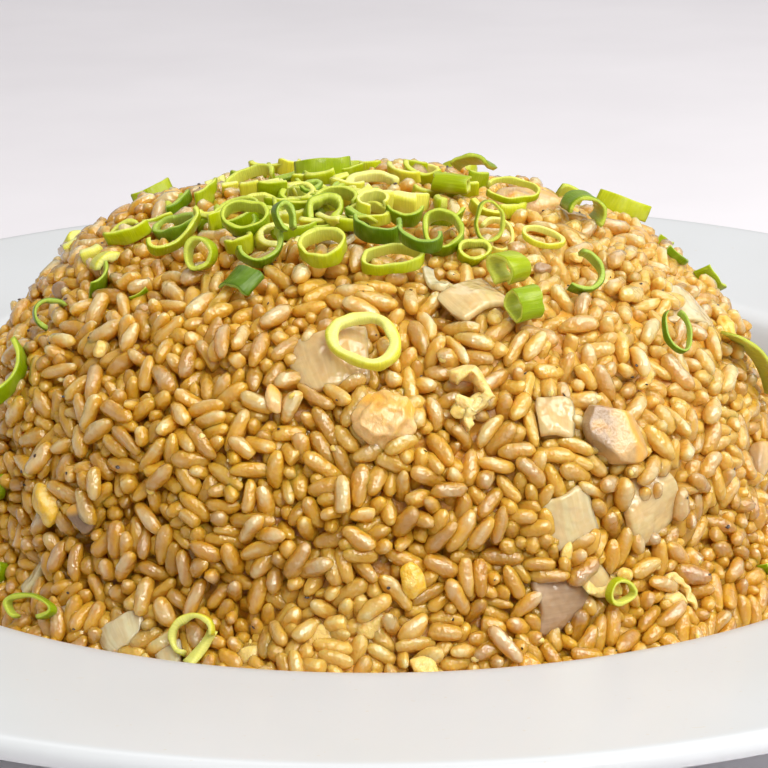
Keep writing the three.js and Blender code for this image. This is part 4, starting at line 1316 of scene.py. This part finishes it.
def chicken_paint():
    """Chicken: meat with fibres, painted shadow on its left side, golden along its ridge and where fried.
    """
    paint = Paint(
        "chicken",
        Roughness=0.38,
        Subsurface_Weight=0.3,
        Subsurface_Radius=(1.0, 0.5, 0.25),
        Subsurface_Scale=0.002,
        Coat_Weight=0.7,
        Coat_Roughness=0.12,
        Coat_IOR=1.7,
    )
    fibres = paint.noise(0.9, paint.place((1.4, 0.4, 1.0)), detail=4)
    tone = paint.values("tone")[0]
    meat = paint.ramp(
        tone,
        (0.0, (0.16, 0.08, 0.045)),
        (0.3, (0.66, 0.42, 0.17)),
        (0.6, (0.86, 0.60, 0.27)),
        (1.0, (0.84, 0.44, 0.07)),
    )
    shade = paint.mix(paint.step(fibres, 0.3, 0.7), (0.90, 0.86, 0.80), (1.04, 1.02, 1.0))
    meat = paint.times(meat, shade)
    across, along, _ = paint.values("skin")
    leftward = paint.math("ADD", across, paint.math("MULTIPLY", along, 0.45))
    ridge = paint.math("ADD", paint.math("MULTIPLY", across, 0.55), paint.math("MULTIPLY", along, 0.75))
    glow = paint.math("MULTIPLY", paint.step(ridge, 0.4, 1.7), paint.step(ridge, 3.8, 2.3))
    meat = paint.cover(meat, (0.92, 0.46, 0.05), glow, 0.9)
    # Painted shadow on the left side of the paler pieces.
    shadow = paint.math("MULTIPLY", paint.step(leftward, -0.4, -3.4), paint.step(tone, 0.62, 0.45))
    meat = paint.mix(shadow, meat, (0.36, 0.22, 0.10))
    fried = paint.ramp(paint.noise(2.2, detail=4), (0.35, (0.72, 0.32, 0.03)), (0.65, (0.90, 0.60, 0.15)))
    where = paint.step(paint.noise(5.0, detail=3), 0.50, 0.66)
    where = paint.math("MULTIPLY", where, paint.step(tone, 0.1, 0.6))
    tint = paint.mix(where, meat, fried)
    relief = paint.bump(fibres, 0.4, 0.5)
    skin = paint.bump(paint.noise(0.6), 0.15, 0.6, relief)
    return paint.set(Base_Color=tint, Normal=skin, Coat_Normal=skin).material


def egg_paint():
    """Scrambled egg, from pale curd to yellow yolk."""
    paint = Paint(
        "egg",
        Roughness=0.36,
        Subsurface_Weight=0.6,
        Subsurface_Radius=(1.0, 0.75, 0.25),
        Subsurface_Scale=0.0015,
        Coat_Weight=0.5,
        Coat_Roughness=0.2,
    )
    tone = paint.values("tone")[0]
    curd = paint.ramp(
        tone,
        (0.0, (0.92, 0.70, 0.30)),
        (0.4, (0.90, 0.60, 0.14)),
        (0.75, (0.88, 0.52, 0.02)),
        (1.0, (0.86, 0.50, 0.01)),
    )
    cloud = paint.noise(1.6, detail=4)
    tint = paint.mix(paint.step(cloud, 0.35, 0.75), curd, (0.92, 0.66, 0.20))
    tint = paint.mix(paint.step(cloud, 0.45, 0.20), tint, (0.78, 0.42, 0.04))
    relief = paint.bump(paint.noise(0.9, detail=3), 0.5, 0.8)
    return paint.set(Base_Color=tint, Normal=relief, Coat_Normal=relief).material


# ---------- crumbs and pepper ----------

PEPPER_SPECKS, PEPPER_SIZES = 200, (0.35, 0.95)
EGG_CRUMBS, CRUMB_SIZES = 170, (0.7, 1.9)
SKIN_CELL = 1.5


def outer_skin(points):
    """The outermost of the points in every small patch of the heap, and the outward directions there."""
    height, outward, _ = over_heap(points)
    bearing = np.arctan2(points[:, 1], points[:, 0] - HEAP_X)
    away = np.hypot(points[:, 0] - HEAP_X, points[:, 1])
    along = np.where(away < HEAP_RADIUS * 0.8, away, HEAP_RADIUS * 0.8 + HEAP_TOP - points[:, 2])
    cells = np.floor(along / SKIN_CELL) * 1000 + np.floor(bearing * np.minimum(away, 60) / SKIN_CELL)
    order = np.lexsort((-height, cells))
    first = np.unique(cells[order], return_index=True)[1]
    top = order[first]
    top = top[points[top, 2] > HEAP_FOOT + 2]
    return points[top], outward[top]


def scatter_bits(rng, skin, count, sizes, sink, thin):
    """Small uneven bits in the outer skin, or just on it where the sink is under 0."""
    points, outward = skin
    parts = []
    for k in rng.choice(len(points), count, replace=False):
        size = rng.uniform(*sizes) * np.array([1, rng.uniform(0.55, 1), rng.uniform(0.4, 1) * thin])
        bit, quads, triangles, values = lump_parts(rng, size, 1, 0.2, CRUMB_LEVEL, facets=8, knobs=8)
        spin = Vector(rng.normal(size=3)).to_track_quat("Z", "Y").to_matrix()
        bit = bit @ np.array(spin).T + points[k] - outward[k] * sink
        tone = rng.uniform() ** 3
        values["tone"] = np.tile([tone, rng.uniform(), k % 7], (len(bit), 1))
        parts.append((bit, quads, triangles, values))
    return parts


def pepper_paint():
    paint = Paint("pepper", Roughness=0.4, Coat_Weight=0.5, Coat_Roughness=0.15)
    tint = paint.ramp(paint.noise(0.8), (0.4, (0.018, 0.010, 0.006)), (0.7, (0.09, 0.045, 0.02)))
    return paint.set(Base_Color=tint).material


# ---------- obstacles for the grains ----------


def balls_in(points, spacing, size):
    """A thinned set of points, each with a ball size, that stands for a topping while grains settle."""
    cell = np.unique(np.floor(points / spacing).astype(int), axis=0, return_index=True)[1]
    kept = points[cell]
    return np.concatenate([kept, np.full((len(kept), 1), size)], 1)


def toward_middle(points, share):
    """Points drawn in, so that grains may lap over a topping's edges."""
    return points * (1 - share) + points.mean(0) * share


# ---------- build ----------

rng = np.random.default_rng(SEED)

leaf_parts = put_bands(rng, LEAVES, "spring_onion", wobble=0.07)
cuts = MORE_LEAVES + strew_leaves(rng, PILE_CUTS)
more_leaf_parts = put_bands(rng, cuts, fine=0.8, wobble=0.08)
onion_parts = put_bands(rng, ONIONS, "onion", fine=1.4, wobble=0.02, petals=True, crumpled=(0.2, 7.0))
more_onion_parts = put_bands(rng, MORE_ONIONS, fine=1.2, wobble=0.02, petals=True, crumpled=(0.2, 6.0))
egg_curl_parts = put_bands(rng, EGG_CURLS, fine=2.4, wobble=0.12, crumpled=(0.4, 3.0))
chicken_parts = put_lumps(rng, CHICKEN, "chicken", rough=0.035, facets=7, crisp=20)
chunk = lump_parts(rng, CHICKEN[0][2:5], 1.0, 0.022, FINE_LEVEL, knobs=40, crisp=44, planes=CHUNK_SIDES)
chicken_parts[0] = put_piece(chunk, CHICKEN[0], "chicken_01")
clump = lump_parts(rng, CHICKEN[2][2:5], 1.0, 0.05, FINE_LEVEL, facets=12, knobs=60, crisp=22)
clump = (crumple(clump[0], rng, 0.35, 3.0), *clump[1:])
chicken_parts[2] = put_piece(clump, CHICKEN[2], "chicken_03")
egg_parts = put_lumps(rng, EGGS, "egg", rough=0.15, knobs=44)
curl = egg_curl_parts.pop(0)
egg_parts[1] = (moved_to_node(curl[0], "egg_02"), *curl[1:])
more_egg_parts = put_lumps(rng, MORE_EGG, rough=0.15, knobs=44)
browned_parts = put_lumps(rng, BROWNED, rough=0.08)

add_piece(make_plate(), glaze(), ["plate"])
leaf, onion, chicken, egg = leaf_paint(), onion_paint(), chicken_paint(), egg_paint()
for name, parts, material, slot in (
    ("spring_onion_slices", leaf_parts, leaf, "spring_onion"),
    ("onion_pieces", onion_parts, onion, "onion"),
    ("chicken_pieces", chicken_parts, chicken, "chicken"),
    ("egg_curds", egg_parts, egg, "egg"),
):
    nodes = [node_name(slot, k) for k in range(len(parts))]
    add_piece(make_mesh(name, *join_parts(parts)), material, nodes)
add_piece(make_mesh("spring_onion_bits", *join_parts(more_leaf_parts)), leaf)
add_piece(make_mesh("onion_bits", *join_parts(more_onion_parts)), onion)
add_piece(make_mesh("browned_bits", *join_parts(browned_parts)), chicken)

lumps = chicken_parts + egg_parts + more_egg_parts + browned_parts
bands = leaf_parts + more_leaf_parts + egg_curl_parts
obstacles = [balls_in(part[0], spacing=1.6, size=0.3) for part in bands]
obstacles += [balls_in(toward_middle(part[0], 0.3), 1.4, 0.7) for part in onion_parts + more_onion_parts]
obstacles += [balls_in(toward_middle(part[0], 0.2), 2.0, 0.4) for part in lumps]
obstacles = np.concatenate(obstacles)
rice, outermost, tops = make_rice(rng, obstacles)
add_piece(make_core(rng, tops), core_paint(), ["rice_heap"])
for piece in rice:
    add_piece(piece, rice_paint(piece.name))

skin = outer_skin(outermost)
pepper_parts = scatter_bits(rng, skin, PEPPER_SPECKS, PEPPER_SIZES, sink=-0.03, thin=0.4)
crumb_parts = scatter_bits(rng, skin, EGG_CRUMBS, CRUMB_SIZES, sink=0.55, thin=0.7)
add_piece(make_mesh("pepper_specks", *join_parts(pepper_parts)), pepper_paint())
add_piece(make_mesh("egg_crumbs", *join_parts(more_egg_parts + egg_curl_parts + crumb_parts)), egg)

# ---------- stage, lights and camera ----------

FLOOR_HALF = 4.0  # m
WORLD_COLOUR, WORLD_STRENGTH = (1.0, 0.99, 0.98), 0.35
# Softboxes: name, place and aim in m, width and height, watts, colour.
SOFTBOXES = [
    ("key", (0.30, -0.34, 0.88), (0, 0, 0.03), (0.6, 0.6), 5.8, (1.0, 0.99, 0.98)),
    ("front", (0.20, -0.62, 0.56), (0, 0, 0.03), (0.24, 0.24), 2.2, (1.0, 0.99, 0.975)),
    ("side", (0.64, -0.16, 0.50), (0, 0, 0.03), (0.3, 0.3), 2.2, (1.0, 0.99, 0.975)),
    ("rim", (0.40, 0.62, 0.50), (0, 0, 0.04), (0.35, 0.35), 0.4, (1.0, 0.98, 0.95)),
    ("backdrop", (0.0, 1.25, 1.2), (0, 1.15, 0), (1.4, 1.0), 5.4, (1.0, 0.98, 1.0)),
]


def make_floor():
    mesh = bpy.data.meshes.new("floor")
    corners = [(x * FLOOR_HALF, y * FLOOR_HALF, 0) for x, y in ((-1, -1), (1, -1), (1, 1), (-1, 1))]
    mesh.from_pydata(corners, [], [(0, 1, 2, 3)])
    floor = bpy.data.objects.new("floor", mesh)
    bpy.context.scene.collection.objects.link(floor)
    paint = Paint("floor", Roughness=0.6)
    tint = paint.ramp(paint.noise(120, detail=3), (0.35, (0.86, 0.83, 0.86)), (0.65, (0.90, 0.87, 0.90)))
    mesh.materials.append(paint.set(Base_Color=tint).material)


def add_softbox(name, place, aim, size, power, colour):
    light = bpy.data.lights.new(name, "AREA")
    light.shape = "RECTANGLE"
    light.size, light.size_y = size
    light.energy = power
    light.color = colour
    lamp = bpy.data.objects.new(name, light)
    bpy.context.scene.collection.objects.link(lamp)
    lamp.location = place
    lamp.rotation_euler = (Vector(aim) - Vector(place)).to_track_quat("-Z", "Y").to_euler()


def light_world(colour, strength):
    world = bpy.data.worlds.new("studio")
    world.use_nodes = True
    background = world.node_tree.nodes["Background"]
    background.inputs["Color"].default_value = (*colour, 1)
    background.inputs["Strength"].default_value = strength
    bpy.context.scene.world = world


# The camera's picture, in the photograph's frame of 768 by 768 pixels.
FRAME_PIXELS = 768
SENSOR_WIDTH = 36
FOCAL_PIXELS = 2200
CENTRE_PIXEL = (382.4, 422.7)
AIM_HEIGHT = 28.0
CAMERA_DISTANCE = 420.3
CAMERA_ELEVATION = 19.5
CAMERA_ROLL = -0.5


def add_camera():
    data = bpy.data.cameras.new("camera")
    camera = bpy.data.objects.new("camera", data)
    bpy.context.scene.collection.objects.link(camera)
    rise = math.radians(CAMERA_ELEVATION)
    away, up = CAMERA_DISTANCE * math.cos(rise), CAMERA_DISTANCE * math.sin(rise)
    camera.location = (0, -away * MM, (AIM_HEIGHT + up) * MM)
    aim = Vector((0, 0, AIM_HEIGHT * MM)) - camera.location
    turn = aim.to_track_quat("-Z", "Y").to_euler()
    turn.rotate_axis("Z", math.radians(CAMERA_ROLL))
    camera.rotation_euler = turn
    data.sensor_width = SENSOR_WIDTH
    data.lens = FOCAL_PIXELS / FRAME_PIXELS * SENSOR_WIDTH
    data.shift_x = 0.5 - CENTRE_PIXEL[0] / FRAME_PIXELS
    data.shift_y = CENTRE_PIXEL[1] / FRAME_PIXELS - 0.5
    data.clip_start, data.clip_end = 0.02, 20
    bpy.context.scene.camera = camera


make_floor()
light_world(WORLD_COLOUR, WORLD_STRENGTH)
for softbox in SOFTBOXES:
    add_softbox(*softbox)
add_camera()
bpy.context.scene.view_settings.view_transform = "Standard"
